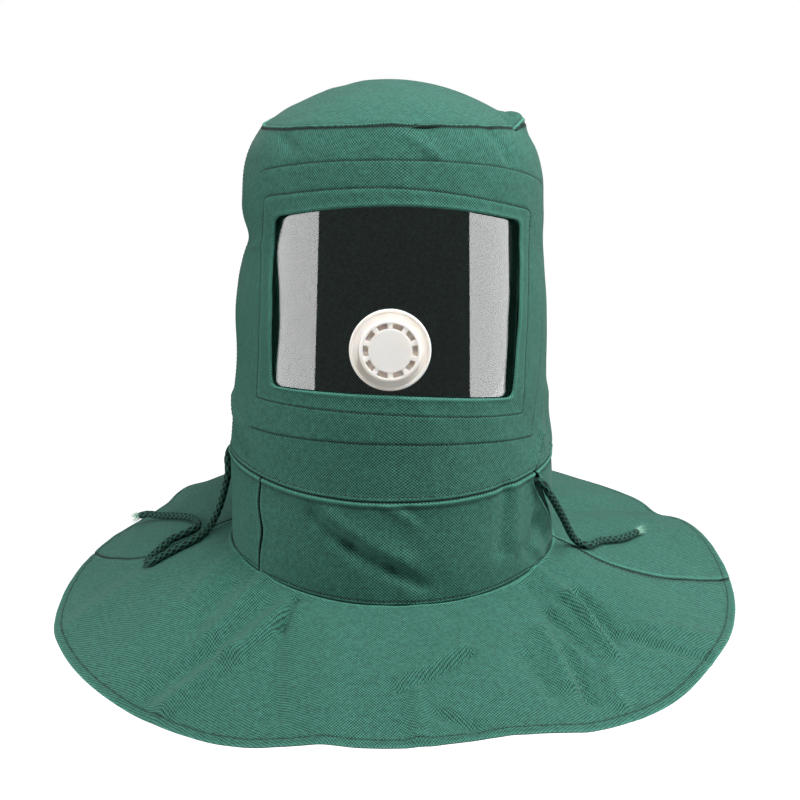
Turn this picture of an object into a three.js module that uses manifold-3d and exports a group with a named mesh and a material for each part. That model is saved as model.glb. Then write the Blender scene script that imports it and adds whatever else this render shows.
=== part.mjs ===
// Sandblasting hood: a cloth head tube with a crown, a neck band and a shoulder cape, a clear lens in
// a pocket behind the window, a breathing valve in the lens and a drawcord round the back of the neck.
// Millimetres, +Z up, the wearer looks along -Y. The origin is the seat: the inside of the crown's top.
import * as THREE from 'three';
import { mergeVertices } from 'three/addons/utils/BufferGeometryUtils.js';
import Module from 'manifold-3d';

const wasm = await Module();
wasm.setup();

// Sizes of the cloth body
const HOOD_WIDTH = 217;      // outside width of the head tube
const HOOD_DEPTH = 232;      // outside depth of the head tube, front to back
const SEAT_TO_NECK = 266;    // crown's top down to the neck seam, at the front
const BAND_HEIGHT = 70;      // neck seam down to the cape seam, at the front
const CAPE_REACH = 236;      // axis of the hood out to the hem
const CAPE_FALL = 50;        // cape seam down to the hem, at the front
const CAPE_RISE = 5;         // how far the shoulders lift the middle of the cape
const CLOTH = 1.6;           // wall of the cloth
const SEAM_GAP = 0.35;       // gap left along a seam between two panels
const FOLD_WIDTH = 11;       // half width of a full fold
const FOLD_DEPTH = 3.6;      // height of a full fold
const SECTION_POWER = 2.2;   // 2 is an ellipse, more is squarer
const CROWN_CURVE = 2;       // power of the crown's dome

// Sizes of the window, the lens and its pocket
const WINDOW_HALF = 80;      // half width of the opening
const WINDOW_TOP = 84;       // seat down to the opening's top corners
const WINDOW_HEIGHT = 111;   // height of the opening at its left edge
const WINDOW_CORNER = 5;     // rounding of its corners
const LENS = 1.5;            // thickness of the clear sheet
const LENS_PLAY = 1;         // room between the cloth and the lens
const LENS_ABOVE = 34;       // lens above the opening's top corners
const LENS_BELOW = 26;       // lens below the opening's bottom left corner
const LENS_LEFT = -56;       // degrees round from the front
const LENS_RIGHT = 54;
const POCKET_CLOTH = 1.2;    // wall of the pocket behind the lens
const POCKET_SLIP = 1.1;     // room between the pocket's border and the front panel
const POCKET_HEM = 5;        // border of the pocket that is sewn to the front panel
const POCKET_RAMP = 3;       // where the pocket steps back behind the lens
const POCKET_REVEAL = 4;     // how much larger than the window the pocket's opening is
const SLIP = 0.3;            // gap between pieces that lie on each other

// Sizes of the valve
const VALVE_TURN = -3;       // degrees round from the front
const VALVE_DROP = 166;      // seat down to the valve's axis
const FLANGE_RADIUS = 26.4;
const FLANGE_THICK = 2.3;
const FLANGE_BEAD = 0.7;     // raised rim of the flange
const BOSS_RADIUS = 17;
const BOSS_LENGTH = 7.5;
const PASSAGE_RADIUS = 11;
const CAP_RADIUS = 20.2;
const CAP_HEIGHT = 4.6;
const CAP_WALL = 1.6;
const SLOT_OUTER = 17.7;
const SLOT_INNER = 14.2;
const SLOT_COUNT = 10;
const SLOT_SPAN = 24;        // degrees
const RING_WIDTH = 4.6;
const RING_THICK = 2.4;
const TURNED_SIDES = 28;     // sides of the valve's round pieces

// Sizes of the drawcord and what it runs through
const CORD = 5;
const CORD_SIDES = 8;
const CORD_PLAY = 0.55;      // room round the cord inside the casing
const CASING_CENTRE = 10;    // neck seam down to the cord
const CASING_SLIP = 0.6;     // room between the casing and the neck's wall
const CASING_FLANGE = 4;     // sewn edge of the casing above and below the cord
const CASING_RAMP = 2.2;
const CASING_COLUMNS = [12, 31];   // first and last column of the tube that the casing spans
const CORD_START = 62.7;     // degrees round from the front where the cord enters the neck, on the right
const CORD_END = 239.6;
const SLIT_OPENING = 12;     // width of the right slit at its top, where the cord leaves
const BUTTONHOLE_TURN = -112.2;
const BUTTONHOLE_LENGTH = 16;
const BUTTONHOLE_HEIGHT = 7.4;

// The surface is numbered down the hood: the apex is 0, then each seam, and the hem
const CROWN_SEAM = 1;
const NECK_SEAM = 2;
const CAPE_SEAM = 3;
const HEM = 4;
const COLUMN = 7.5;          // degrees between the columns of the head tube
const NECK_COLUMNS = [12, 38];     // first and last column of the neck's back that run straight down

// Head tube: drops are shares of SEAT_TO_NECK, width and lean of HOOD_WIDTH, fore and aft of half
// HOOD_DEPTH
const TUBE_SECTIONS = [
  { front: 0.092, side: 0.118, back: 0.085, width: 0.812, fore: 0.80, aft: 0.84, lean: 0 },
  { front: 0.150, side: 0.170, back: 0.140, width: 0.895, fore: 0.85, aft: 0.90, lean: 0.004 },
  { front: 0.225, side: 0.235, back: 0.215, width: 0.937, fore: 0.885, aft: 0.96, lean: 0.004 },
  { front: 0.310, side: 0.310, back: 0.300, width: 0.947, fore: 0.91, aft: 0.985, lean: 0.003 },
  { front: 0.405, side: 0.405, back: 0.395, width: 0.943, fore: 0.928, aft: 1.0, lean: 0.006 },
  { front: 0.560, side: 0.560, back: 0.545, width: 0.983, fore: 0.952, aft: 1.0, lean: -0.001 },
  { front: 0.730, side: 0.725, back: 0.700, width: 0.988, fore: 0.974, aft: 0.98, lean: -0.001 },
  { front: 0.860, side: 0.840, back: 0.800, width: 1.000, fore: 0.985, aft: 0.95, lean: -0.008 },
  { front: 1.000, side: 0.950, back: 0.885, width: 1.032, fore: 0.985, aft: 0.92, lean: -0.003 },
];

// Neck band: drops are shares of BAND_HEIGHT below the neck seam, the rest as above
const BAND_SECTIONS = [
  { front: 0, side: 0, back: 0, width: 1.032, fore: 0.985, aft: 0.92, lean: -0.003 },
  { front: 0.52, side: 0.50, back: 0.48, width: 1.040, fore: 0.985, aft: 0.91, lean: 0 },
  { front: 1, side: 0.93, back: 0.85, width: 1.036, fore: 0.975, aft: 0.92, lean: 0 },
];

// Hem every 15 degrees: reach is a share of CAPE_REACH, fall a share of CAPE_FALL below the cape seam
const HEM_STEP = 15;
const HEM_POINTS = [
  { turn: -180, reach: 1.000, fall: 0.34 }, { turn: -165, reach: 1.004, fall: 0.39 },
  { turn: -150, reach: 1.008, fall: 0.47 }, { turn: -135, reach: 1.004, fall: 0.69 },
  { turn: -120, reach: 1.004, fall: 0.78 }, { turn: -105, reach: 1.004, fall: 0.92 },
  { turn: -90, reach: 1.008, fall: 1.12 }, { turn: -75, reach: 1.004, fall: 1.20 },
  { turn: -60, reach: 1.000, fall: 1.25 }, { turn: -45, reach: 1.000, fall: 1.28 },
  { turn: -30, reach: 0.996, fall: 1.25 }, { turn: -15, reach: 0.996, fall: 1.04 },
  { turn: 0, reach: 0.996, fall: 1.00 }, { turn: 15, reach: 1.000, fall: 0.95 },
  { turn: 30, reach: 1.008, fall: 1.15 }, { turn: 45, reach: 1.017, fall: 1.20 },
  { turn: 60, reach: 1.021, fall: 1.05 }, { turn: 75, reach: 1.025, fall: 1.02 },
  { turn: 90, reach: 1.038, fall: 0.80 }, { turn: 105, reach: 1.042, fall: 0.50 },
  { turn: 120, reach: 1.034, fall: 0.46 }, { turn: 135, reach: 1.017, fall: 0.43 },
  { turn: 150, reach: 1.004, fall: 0.39 }, { turn: 165, reach: 1.000, fall: 0.37 },
];

// Slits between the front and the back of the neck band, at even steps down the band:
// turns in degrees, openings as shares of SLIT_OPENING
const SLITS = [
  { left: -52.5, right: 54.0, leftOpen: 0.06, rightOpen: 1.0 },
  { left: -54.5, right: 58.5, leftOpen: 0.12, rightOpen: 0.6 },
  { left: -52.5, right: 66.0, leftOpen: 0.14, rightOpen: 0.3 },
  { left: -54.0, right: 74.0, leftOpen: 0.10, rightOpen: 0.08 },
  { left: -55.0, right: 80.0, leftOpen: 0.05, rightOpen: 0.05 },
];

const CAPE_ROWS = 8;

// Shoulder seams of the cape, at even steps from the cape seam to the hem: turns in degrees
const SHOULDER_SEAMS = [
  { left: -112, right: 83 },
  { left: -100, right: 75 },
  { left: -97, right: 76.5 },
  { left: -104, right: 82.5 },
  { left: -113, right: 90 },
];

// Folds run straight from one place to another on the surface, as turn in degrees and station.
// Width and height are shares of FOLD_WIDTH and FOLD_DEPTH, and a negative height is a crease.
const FOLDS = [
  { turn: -43, station: 1.02, toTurn: -52, toStation: 1.12, width: 0.6, height: -0.5 },
  { turn: 39, station: 1.02, toTurn: 42, toStation: 1.12, width: 0.6, height: -0.55 },
  { turn: 2, station: 1.02, toTurn: 9, toStation: 1.12, width: 0.7, height: 0.5 },
  { turn: 82, station: 0.97, toTurn: 108, toStation: 0.97, width: 0.7, height: 1.1 },
  { turn: 60, station: 0.97, toTurn: 76, toStation: 0.90, width: 0.5, height: -0.8 },
  { turn: -100, station: 1.50, toTurn: -76, toStation: 1.485, width: 0.8, height: -0.9 },
  { turn: -96, station: 1.86, toTurn: -68, toStation: 1.96, width: 0.6, height: -0.9 },
  { turn: -94, station: 1.79, toTurn: -72, toStation: 1.88, width: 0.8, height: 0.5 },
  { turn: 86, station: 1.85, toTurn: 88, toStation: 1.97, width: 0.9, height: 0.8 },
  { turn: 76, station: 1.86, toTurn: 78, toStation: 1.97, width: 0.5, height: -0.6 },
  { turn: 152, station: 1.62, toTurn: 148, toStation: 1.90, width: 1.0, height: -0.8 },
  { turn: 178, station: 1.55, toTurn: 182, toStation: 1.90, width: 1.2, height: 0.8 },
  { turn: -140, station: 1.60, toTurn: -146, toStation: 1.90, width: 1.0, height: -0.9 },
  { turn: 160, station: 2.50, toTurn: 154, toStation: 2.95, width: 0.9, height: 0.7 },
  { turn: -158, station: 2.50, toTurn: -152, toStation: 2.95, width: 0.9, height: -0.7 },
  { turn: -28, station: 2.09, toTurn: -8, toStation: 2.41, width: 0.8, height: -0.7 },
  { turn: -8, station: 2.41, toTurn: 6, toStation: 2.74, width: 0.7, height: -0.9 },
  { turn: -20, station: 2.36, toTurn: -4, toStation: 2.66, width: 0.9, height: 0.5 },
  { turn: 37, station: 2.05, toTurn: 39, toStation: 2.50, width: 1.0, height: -0.7 },
  { turn: 58, station: 2.42, toTurn: 66, toStation: 2.72, width: 0.7, height: -0.9 },
  { turn: 50, station: 2.62, toTurn: 70, toStation: 2.86, width: 0.7, height: 0.5 },
  { turn: -20, station: 3.15, toTurn: -37, toStation: 3.97, width: 1.2, height: 1.4 },
  { turn: -29, station: 3.25, toTurn: -46, toStation: 3.95, width: 1.3, height: -0.9 },
  { turn: -43, station: 3.01, toTurn: -40, toStation: 3.52, width: 0.9, height: 0.6 },
  { turn: 58, station: 3.03, toTurn: 47, toStation: 3.30, width: 0.9, height: -1.2 },
  { turn: 47, station: 3.30, toTurn: 42, toStation: 3.70, width: 1.0, height: -1.4 },
  { turn: 32, station: 3.35, toTurn: 38, toStation: 3.94, width: 1.2, height: 1.3 },
  { turn: 49, station: 3.60, toTurn: 58, toStation: 4.0, width: 0.9, height: 0.9 },
  { turn: 65, station: 3.62, toTurn: 73, toStation: 3.95, width: 0.8, height: 0.4 },
  { turn: 13, station: 3.44, toTurn: 2, toStation: 3.63, width: 0.6, height: -0.6 },
  { turn: 2, station: 3.68, toTurn: 10, toStation: 3.94, width: 0.8, height: 0.7 },
  { turn: 14, station: 3.80, toTurn: 15, toStation: 4.0, width: 0.8, height: -0.8 },
  { turn: -84, station: 3.50, toTurn: -80, toStation: 4.0, width: 1.6, height: 0.7 },
  { turn: 112, station: 3.30, toTurn: 118, toStation: 4.0, width: 1.4, height: -1.2 },
  { turn: 150, station: 3.10, toTurn: 156, toStation: 4.0, width: 1.6, height: 1.3 },
  { turn: -172, station: 3.20, toTurn: -168, toStation: 4.0, width: 1.4, height: -1.0 },
  { turn: -138, station: 3.10, toTurn: -140, toStation: 4.0, width: 1.6, height: 1.4 },
];

// Routes of the cord's two free ends, from inside the neck out over the cape, and its lie on the cape
const RIGHT_TAIL = [
  [94.9, -54.9, -264.2], [92.9, -58.1, -264.6], [91.4, -61.4, -264.6], [91.7, -66.0, -264.0],
  [93.7, -69.6, -263.0], [95.6, -74.4, -262.6], [98.2, -76.4, -264.2], [100.4, -75.0, -268.8],
  [104.4, -69.0, -275.0], [108.7, -61.4, -282.6], [113.3, -53.4, -291.0], [117.6, -45.6, -299.4],
  [121.8, -37.6, -307.7], [125.9, -31.8, -314.5], [130.6, -29.4, -318.6], [135.0, -30.3, -319.9],
  [139.9, -25.5, -320.4], [147.2, -14.7, -321.3], [154.4, -8.3, -322.5], [162.5, -1.6, -324.0],
  [170.5, 7.5, -325.0], [175.8, 13.8, -325.0], [180.1, 19.3, -325.1],
];
const LEFT_TAIL = [
  [-94.8, 53.2, -256.9], [-96.6, 47.4, -257.6], [-101.3, 44.7, -258.4], [-106.3, 42.0, -259.0],
  [-110.8, 37.9, -259.9], [-113.9, 33.2, -262.4], [-115.4, 29.6, -268.0], [-115.2, 28.0, -276.6],
  [-116.9, 30.0, -285.5], [-119.1, 32.5, -294.7], [-121.5, 34.0, -302.8], [-124.4, 33.0, -310.0],
  [-127.9, 28.0, -315.3], [-132.0, 19.0, -318.4], [-136.5, 11.3, -320.2], [-142.4, 6.8, -322.5],
  [-148.5, 4.0, -324.6], [-155.2, 2.3, -327.5], [-161.9, -0.5, -330.3], [-166.9, -5.1, -332.0],
  [-170.2, -7.7, -333.2], [-172.8, -0.9, -334.4], [-171.8, 6.7, -333.8], [-167.4, 13.8, -331.7],
  [-162.1, 20.1, -328.5], [-156.9, 27.3, -326.0], [-149.3, 28.4, -323.0], [-142.9, 31.0, -320.8],
  [-138.9, 35.1, -319.5], [-137.8, 42.7, -318.7], [-140.9, 56.2, -319.3], [-147.2, 68.0, -320.7],
  [-154.8, 79.5, -323.1], [-162.4, 90.6, -325.8], [-169.5, 101.0, -328.3], [-175.6, 108.5, -329.2],
  [-180.2, 113.5, -330.6], [-184.4, 117.0, -332.6],
];
const CORD_STEP = 12;        // length of one step of a cord's tube

const radians = THREE.MathUtils.degToRad;
const lerp = THREE.MathUtils.lerp;
const smoothstep = THREE.MathUtils.smoothstep;

// One column of a table at a place between its rows, on a Catmull-Rom curve; a closed table runs round
function tableValue(rows, column, place, closed = false) {
  const count = rows.length;
  const row = closed ? Math.floor(place) : Math.min(Math.max(Math.floor(place), 0), count - 2);
  const f = place - row;
  const value = (index) => {
    if (closed) return rows[((index % count) + count) % count][column];
    if (index < 0) return 2 * rows[0][column] - rows[1][column];
    if (index >= count) return 2 * rows[count - 1][column] - rows[count - 2][column];
    return rows[index][column];
  };
  const [a, b, c, d] = [value(row - 1), value(row), value(row + 1), value(row + 2)];
  const [square, cube] = [2 * a - 5 * b + 4 * c - d, 3 * b - a - 3 * c + d];
  return 0.5 * (2 * b + (c - a) * f + square * f * f + cube * f * f * f);
}

// Drop at a turn, eased from the side value to the front or the back value
function dropAt(turn, rows, place) {
  const cosine = Math.cos(radians(turn));
  const side = tableValue(rows, 'side', place);
  const end = tableValue(rows, cosine > 0 ? 'front' : 'back', place);
  return side + (end - side) * cosine * cosine;
}

// Point of a section at a turn, x right and y back, at the drop given
function sectionPoint(turn, rows, place, drop) {
  const sine = Math.sin(radians(turn));
  const cosine = Math.cos(radians(turn));
  const power = 2 / SECTION_POWER;
  const depth = tableValue(rows, cosine > 0 ? 'fore' : 'aft', place) * HOOD_DEPTH / 2;
  const x = tableValue(rows, 'width', place) * HOOD_WIDTH / 2 * Math.sign(sine) * Math.abs(sine) ** power;
  const y = -depth * Math.sign(cosine) * Math.abs(cosine) ** power;
  return new THREE.Vector3(x + tableValue(rows, 'lean', place) * HOOD_WIDTH, y, CLOTH - drop);
}

function tubePoint(turn, place) {
  return sectionPoint(turn, TUBE_SECTIONS, place, SEAT_TO_NECK * dropAt(turn, TUBE_SECTIONS, place));
}

function bandPoint(turn, place) {
  const neck = SEAT_TO_NECK * dropAt(turn, TUBE_SECTIONS, TUBE_SECTIONS.length - 1);
  const drop = neck + BAND_HEIGHT * dropAt(turn, BAND_SECTIONS, place);
  return sectionPoint(turn, BAND_SECTIONS, place, drop);
}

function crownPoint(turn, share) {
  const edge = tubePoint(turn, 0);
  const fall = (edge.z - CLOTH) * share ** CROWN_CURVE;
  return new THREE.Vector3(edge.x * share, edge.y * share, CLOTH + fall);
}

function capePoint(turn, share) {
  const seam = bandPoint(turn, BAND_SECTIONS.length - 1);
  const place = (turn + 180) / HEM_STEP;
  const reach = CAPE_REACH * tableValue(HEM_POINTS, 'reach', place, true);
  const fall = CAPE_FALL * tableValue(HEM_POINTS, 'fall', place, true);
  const angle = radians(turn);
  const hem = new THREE.Vector3(reach * Math.sin(angle), -reach * Math.cos(angle), seam.z - fall);
  const point = seam.lerp(hem, share);
  point.z += CAPE_RISE * 4 * share * (1 - share);
  return point;
}

// The hood's outer face without its folds
function plainPoint(turn, station) {
  if (station <= CROWN_SEAM) return crownPoint(turn, station);
  if (station <= NECK_SEAM) return tubePoint(turn, (station - CROWN_SEAM) * (TUBE_SECTIONS.length - 1));
  if (station <= CAPE_SEAM) return bandPoint(turn, (station - NECK_SEAM) * (BAND_SECTIONS.length - 1));
  return capePoint(turn, station - CAPE_SEAM);
}

// Outward normal, halfway between the two panels at a seam, and how much longer a mitre across it is
function facing(turn, station) {
  if (station < 0.01) return { normal: new THREE.Vector3(0, 0, 1), mitre: 1 };
  const here = plainPoint(turn, station);
  const before = here.clone().sub(plainPoint(turn, station - 0.002)).normalize();
  const after = station < HEM ? plainPoint(turn, station + 0.002).sub(here).normalize() : before.clone();
  const mitre = 1 / Math.max(Math.sqrt((1 + before.dot(after)) / 2), 0.7);
  const down = before.add(after).normalize();
  const round = plainPoint(turn + 0.2, station).sub(plainPoint(turn - 0.2, station)).normalize();
  return { normal: down.cross(round).normalize(), mitre };
}

// Each fold's own length in the two directions of the surface is measured once
const MEASURED_FOLDS = FOLDS.map((fold) => {
  const [turn, station] = [(fold.turn + fold.toTurn) / 2, (fold.station + fold.toStation) / 2];
  const perTurn = plainPoint(turn + 1, station).distanceTo(plainPoint(turn - 1, station)) / 2;
  const perStation = plainPoint(turn, station + 0.02).distanceTo(plainPoint(turn, station - 0.02)) / 0.04;
  const across = (fold.toTurn - fold.turn) * perTurn;
  const down = (fold.toStation - fold.station) * perStation;
  return { ...fold, perTurn, perStation, across, down, square: across ** 2 + down ** 2 };
});

// Height of all the folds at a place: each is a smooth ridge round the line that it follows
function foldHeight(turn, station) {
  const here = plainPoint(turn, station);
  let height = 0;
  for (const fold of MEASURED_FOLDS) {
    const away = ((turn - fold.turn + 540) % 360) - 180;
    const across = away * fold.perTurn * fold.across;
    const down = (station - fold.station) * fold.perStation * fold.down;
    const share = Math.min(Math.max((across + down) / fold.square, 0), 1);
    const nearest = plainPoint(
      lerp(fold.turn, fold.toTurn, share),
      lerp(fold.station, fold.toStation, share),
    );
    const distance = here.distanceTo(nearest) / (FOLD_WIDTH * fold.width);
    height += FOLD_DEPTH * fold.height * Math.exp(-distance * distance);
  }
  return height;
}

// A point of the hood, a given depth under the outer face of the cloth
function hoodPoint(turn, station, depth = 0) {
  const { normal, mitre } = facing(turn, station);
  return plainPoint(turn, station).addScaledVector(normal, foldHeight(turn, station) - depth * mitre);
}

// Places down the tube: a drop below the seat at the front, or a distance from the neck seam
function stationAtDrop(drop) {
  let [low, high] = [CROWN_SEAM, NECK_SEAM];
  for (let step = 0; step < 30; step += 1) {
    const middle = (low + high) / 2;
    if (CLOTH - plainPoint(0, middle).z < drop) low = middle;
    else high = middle;
  }
  return low;
}

function stationNearNeck(distance) {
  return NECK_SEAM + distance / (distance > 0 ? BAND_HEIGHT : SEAT_TO_NECK);
}

function evenSteps(start, end, count) {
  return Array.from({ length: count + 1 }, (_, index) => lerp(start, end, index / count));
}

function degreesFor(length) {
  return THREE.MathUtils.radToDeg(length / (HOOD_WIDTH / 2));
}

// A closed solid from two grids of points, the outer and the inner face of a wall
function solidBetween(outer, inner, closed) {
  const rows = outer.length;
  const columns = outer[0].length;
  const positions = [];
  const quad = (a, b, c, d) => {
    for (const point of [a, b, c, a, c, d]) positions.push(point.x, point.y, point.z);
  };
  const last = closed ? columns : columns - 1;
  for (let row = 0; row < rows - 1; row += 1) {
    for (let column = 0; column < last; column += 1) {
      const next = (column + 1) % columns;
      quad(outer[row][column], outer[row + 1][column], outer[row + 1][next], outer[row][next]);
      quad(inner[row][column], inner[row][next], inner[row + 1][next], inner[row + 1][column]);
    }
  }
  for (let column = 0; column < last; column += 1) {
    const next = (column + 1) % columns;
    quad(outer[0][column], outer[0][next], inner[0][next], inner[0][column]);
    quad(outer[rows - 1][next], outer[rows - 1][column], inner[rows - 1][column], inner[rows - 1][next]);
  }
  for (let row = 0; row < rows - 1 && !closed; row += 1) {
    quad(outer[row][0], inner[row][0], inner[row + 1][0], outer[row + 1][0]);
    const side = columns - 1;
    quad(outer[row][side], outer[row + 1][side], inner[row + 1][side], inner[row][side]);
  }
  const loose = new THREE.BufferGeometry();
  loose.setAttribute('position', new THREE.Float32BufferAttribute(positions, 3));
  return welded(loose);
}

// Shared vertices merged and the flat triangles at a pole left out
function welded(geometry) {
  geometry.deleteAttribute('normal');
  geometry.deleteAttribute('uv');
  const merged = mergeVertices(geometry, 1e-4);
  const kept = [];
  for (let first = 0; first < merged.index.count; first += 3) {
    const [a, b, c] = [0, 1, 2].map((corner) => merged.index.getX(first + corner));
    if (a !== b && b !== c && c !== a) kept.push(a, b, c);
  }
  merged.setIndex(kept);
  return merged;
}

// Moves the edge points of a wall back from a seam by half its gap
function setBack(grid, distance, { start = true, end = true, sides = true } = {}) {
  const pull = (edge, next) => edge.addScaledVector(next.clone().sub(edge).normalize(), distance);
  const last = grid.length - 1;
  if (start) grid[0].forEach((point, column) => pull(point, grid[1][column]));
  if (end) grid[last].forEach((point, column) => pull(point, grid[last - 1][column]));
  if (sides) {
    for (const row of grid) {
      pull(row[0], row[1]);
      pull(row[row.length - 1], row[row.length - 2]);
    }
  }
}

// A wall of cloth on the hood's surface: stations down it, and the turns of its columns at each station
function clothWall(stations, turnsAt, options = {}) {
  const { closed = false, start = () => 0, thickness = CLOTH, gaps = {} } = options;
  const grid = (extra) => stations.map((station) => (
    turnsAt(station).map((turn) => hoodPoint(turn, station, start(turn, station) + extra))
  ));
  const outer = grid(0);
  const inner = grid(thickness);
  setBack(outer, SEAM_GAP / 2, gaps);
  setBack(inner, SEAM_GAP / 2, gaps);
  return solidBetween(outer, inner, closed);
}

// Booleans, on welded geometry
function toSolid(geometry) {
  return new wasm.Manifold(new wasm.Mesh({
    numProp: 3,
    vertProperties: new Float32Array(geometry.attributes.position.array),
    triVerts: new Uint32Array(geometry.index.array),
  }));
}

function toGeometry(solid) {
  const mesh = solid.getMesh();
  const geometry = new THREE.BufferGeometry();
  geometry.setAttribute('position', new THREE.Float32BufferAttribute(mesh.vertProperties, 3));
  geometry.setIndex(new THREE.Uint32BufferAttribute(mesh.triVerts, 1));
  return geometry;
}

function cut(geometry, cutters) {
  return toGeometry(cutters.reduce(
    (solid, cutter) => solid.subtract(toSolid(welded(cutter))),
    toSolid(geometry),
  ));
}

// Window: corners in order round it, across as a share of WINDOW_HALF, down as a share of WINDOW_HEIGHT,
// and the bow of the edge that follows, outward, as a share of WINDOW_HEIGHT
const WINDOW_CORNERS = [
  { across: -1.0, down: 0, bow: 0.104 },
  { across: 1.0, down: 0.036, bow: 0.02 },
  { across: 0.925, down: 1.072, bow: -0.032 },
  { across: -1.05, down: 1.0, bow: 0.014 },
];

function windowShape(margin) {
  const corners = WINDOW_CORNERS.map(({ across, down }) => new THREE.Vector2(
    across * WINDOW_HALF + Math.sign(across) * margin,
    CLOTH - WINDOW_TOP - down * WINDOW_HEIGHT + (down < 0.5 ? margin : -margin),
  ));
  const edges = corners.map((corner, index) => {
    const side = corners[(index + 1) % corners.length].clone().sub(corner);
    const bow = new THREE.Vector2(-side.y, side.x).normalize();
    bow.multiplyScalar(WINDOW_CORNERS[index].bow * WINDOW_HEIGHT);
    const trim = (WINDOW_CORNER + margin / 2) / side.length();
    const point = (t) => corner.clone().addScaledVector(side, t).addScaledVector(bow, 4 * t * (1 - t));
    const slope = side.clone().addScaledVector(bow, 4 * (1 - 2 * trim));
    const middle = point(trim).addScaledVector(slope, (1 - 2 * trim) / 2);
    return { begin: point(trim), middle, end: point(1 - trim) };
  });
  const shape = new THREE.Shape().moveTo(edges[0].begin.x, edges[0].begin.y);
  edges.forEach(({ middle, end }, index) => {
    const next = (index + 1) % edges.length;
    shape.quadraticCurveTo(middle.x, middle.y, end.x, end.y);
    shape.quadraticCurveTo(corners[next].x, corners[next].y, edges[next].begin.x, edges[next].begin.y);
  });
  return shape;
}

// A straight cutter through the front half of the hood
function windowCutter(margin) {
  const options = { depth: HOOD_DEPTH, bevelEnabled: false, curveSegments: 6 };
  return new THREE.ExtrudeGeometry(windowShape(margin), options).rotateX(Math.PI / 2);
}

// Crown: a domed top sewn to the head tube
function crown() {
  const stations = [0, 0.26, 0.5, 0.7, 0.87, CROWN_SEAM];
  const turns = evenSteps(-180, 180 - COLUMN, 360 / COLUMN - 1);
  return clothWall(stations, () => turns, { closed: true, gaps: { start: false, sides: false } });
}

// Front panel: the front half of the head tube with the window
function frontPanel() {
  const turns = evenSteps(-90, 90, 180 / COLUMN);
  return cut(clothWall(evenSteps(CROWN_SEAM, NECK_SEAM, 11), () => turns), [windowCutter(0)]);
}

function backPanel() {
  const turns = evenSteps(90, 270, 180 / COLUMN);
  return clothWall(evenSteps(CROWN_SEAM, NECK_SEAM, 8), () => turns);
}

// Neck band: a front yoke and a back, open at the slits between them
function slitAt(station, side) {
  const place = Math.min((station - NECK_SEAM) * (SLITS.length - 1), SLITS.length - 1);
  const opening = SLIT_OPENING * tableValue(SLITS, `${side}Open`, place);
  return { turn: tableValue(SLITS, side, place), half: degreesFor(opening / 2) };
}

function neckFront() {
  return clothWall(evenSteps(NECK_SEAM, CAPE_SEAM, 5), (station) => {
    const [left, right] = [slitAt(station, 'left'), slitAt(station, 'right')];
    return evenSteps(left.turn + left.half, right.turn - right.half, 17);
  });
}

// Columns that the neck's back and the casing in it share, so that the two walls lie parallel
function columnsOfTube([first, last]) {
  return evenSteps(first * COLUMN, last * COLUMN, last - first);
}

function neckBack() {
  const wall = clothWall(evenSteps(NECK_SEAM, CAPE_SEAM, 5), (station) => {
    const [left, right] = [slitAt(station, 'left'), slitAt(station, 'right')];
    const middle = columnsOfTube(NECK_COLUMNS);
    return [
      ...evenSteps(right.turn + right.half, middle[0], 4).slice(0, -1), ...middle,
      ...evenSteps(middle[middle.length - 1], 360 + left.turn - left.half, 3).slice(1),
    ];
  });
  return cut(wall, [buttonholeCutter()]);
}

// The buttonhole where the cord's left end comes out, a slot across the wall
function buttonholeCutter() {
  const station = stationNearNeck(CASING_CENTRE);
  const centre = hoodPoint(BUTTONHOLE_TURN, station);
  const { normal } = facing(BUTTONHOLE_TURN, station);
  const [half, radius] = [(BUTTONHOLE_LENGTH - BUTTONHOLE_HEIGHT) / 2, BUTTONHOLE_HEIGHT / 2];
  const slot = new THREE.Shape();
  slot.absarc(half, 0, radius, -Math.PI / 2, Math.PI / 2);
  slot.absarc(-half, 0, radius, Math.PI / 2, Math.PI * 1.5);
  const depth = CLOTH * 8;
  const cutter = new THREE.ExtrudeGeometry(slot, { depth, bevelEnabled: false, curveSegments: 5 });
  cutter.translate(0, 0, -depth / 2);
  const level = new THREE.Vector3(0, 0, 1).cross(normal).normalize();
  const upright = normal.clone().cross(level);
  const frame = new THREE.Matrix4().makeBasis(level, upright, normal).setPosition(centre);
  return cutter.applyMatrix4(frame);
}

// Casing: a strip inside the neck that holds the cord, bulging over it
function casingRows() {
  const bulge = CORD / 2 + CORD_PLAY;
  const edge = bulge + CASING_RAMP + CASING_FLANGE;
  return [-edge, -bulge - CASING_RAMP, -bulge, bulge, bulge + CASING_RAMP, edge];
}

function neckCasing() {
  const rows = casingRows();
  const stations = rows.map((distance) => stationNearNeck(CASING_CENTRE + distance));
  const bulging = new Set([stations[2], stations[3]]);
  const turns = columnsOfTube(CASING_COLUMNS);
  const base = CLOTH + CASING_SLIP;
  const start = (turn, station) => base + (bulging.has(station) ? CORD + 2 * CORD_PLAY : 0);
  const gaps = { start: false, end: false, sides: false };
  return clothWall(stations, () => turns, { start, thickness: POCKET_CLOTH, gaps });
}

// Cape: a front and a back that meet at the shoulder seams
function shoulderSeam(station, side) {
  return tableValue(SHOULDER_SEAMS, side, (station - CAPE_SEAM) * (SHOULDER_SEAMS.length - 1));
}

function capeFront() {
  return clothWall(evenSteps(CAPE_SEAM, HEM, CAPE_ROWS), (station) => (
    evenSteps(shoulderSeam(station, 'left'), shoulderSeam(station, 'right'), 42)
  ));
}

function capeBack() {
  return clothWall(evenSteps(CAPE_SEAM, HEM, CAPE_ROWS), (station) => (
    evenSteps(shoulderSeam(station, 'right'), 360 + shoulderSeam(station, 'left'), 26)
  ));
}

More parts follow.
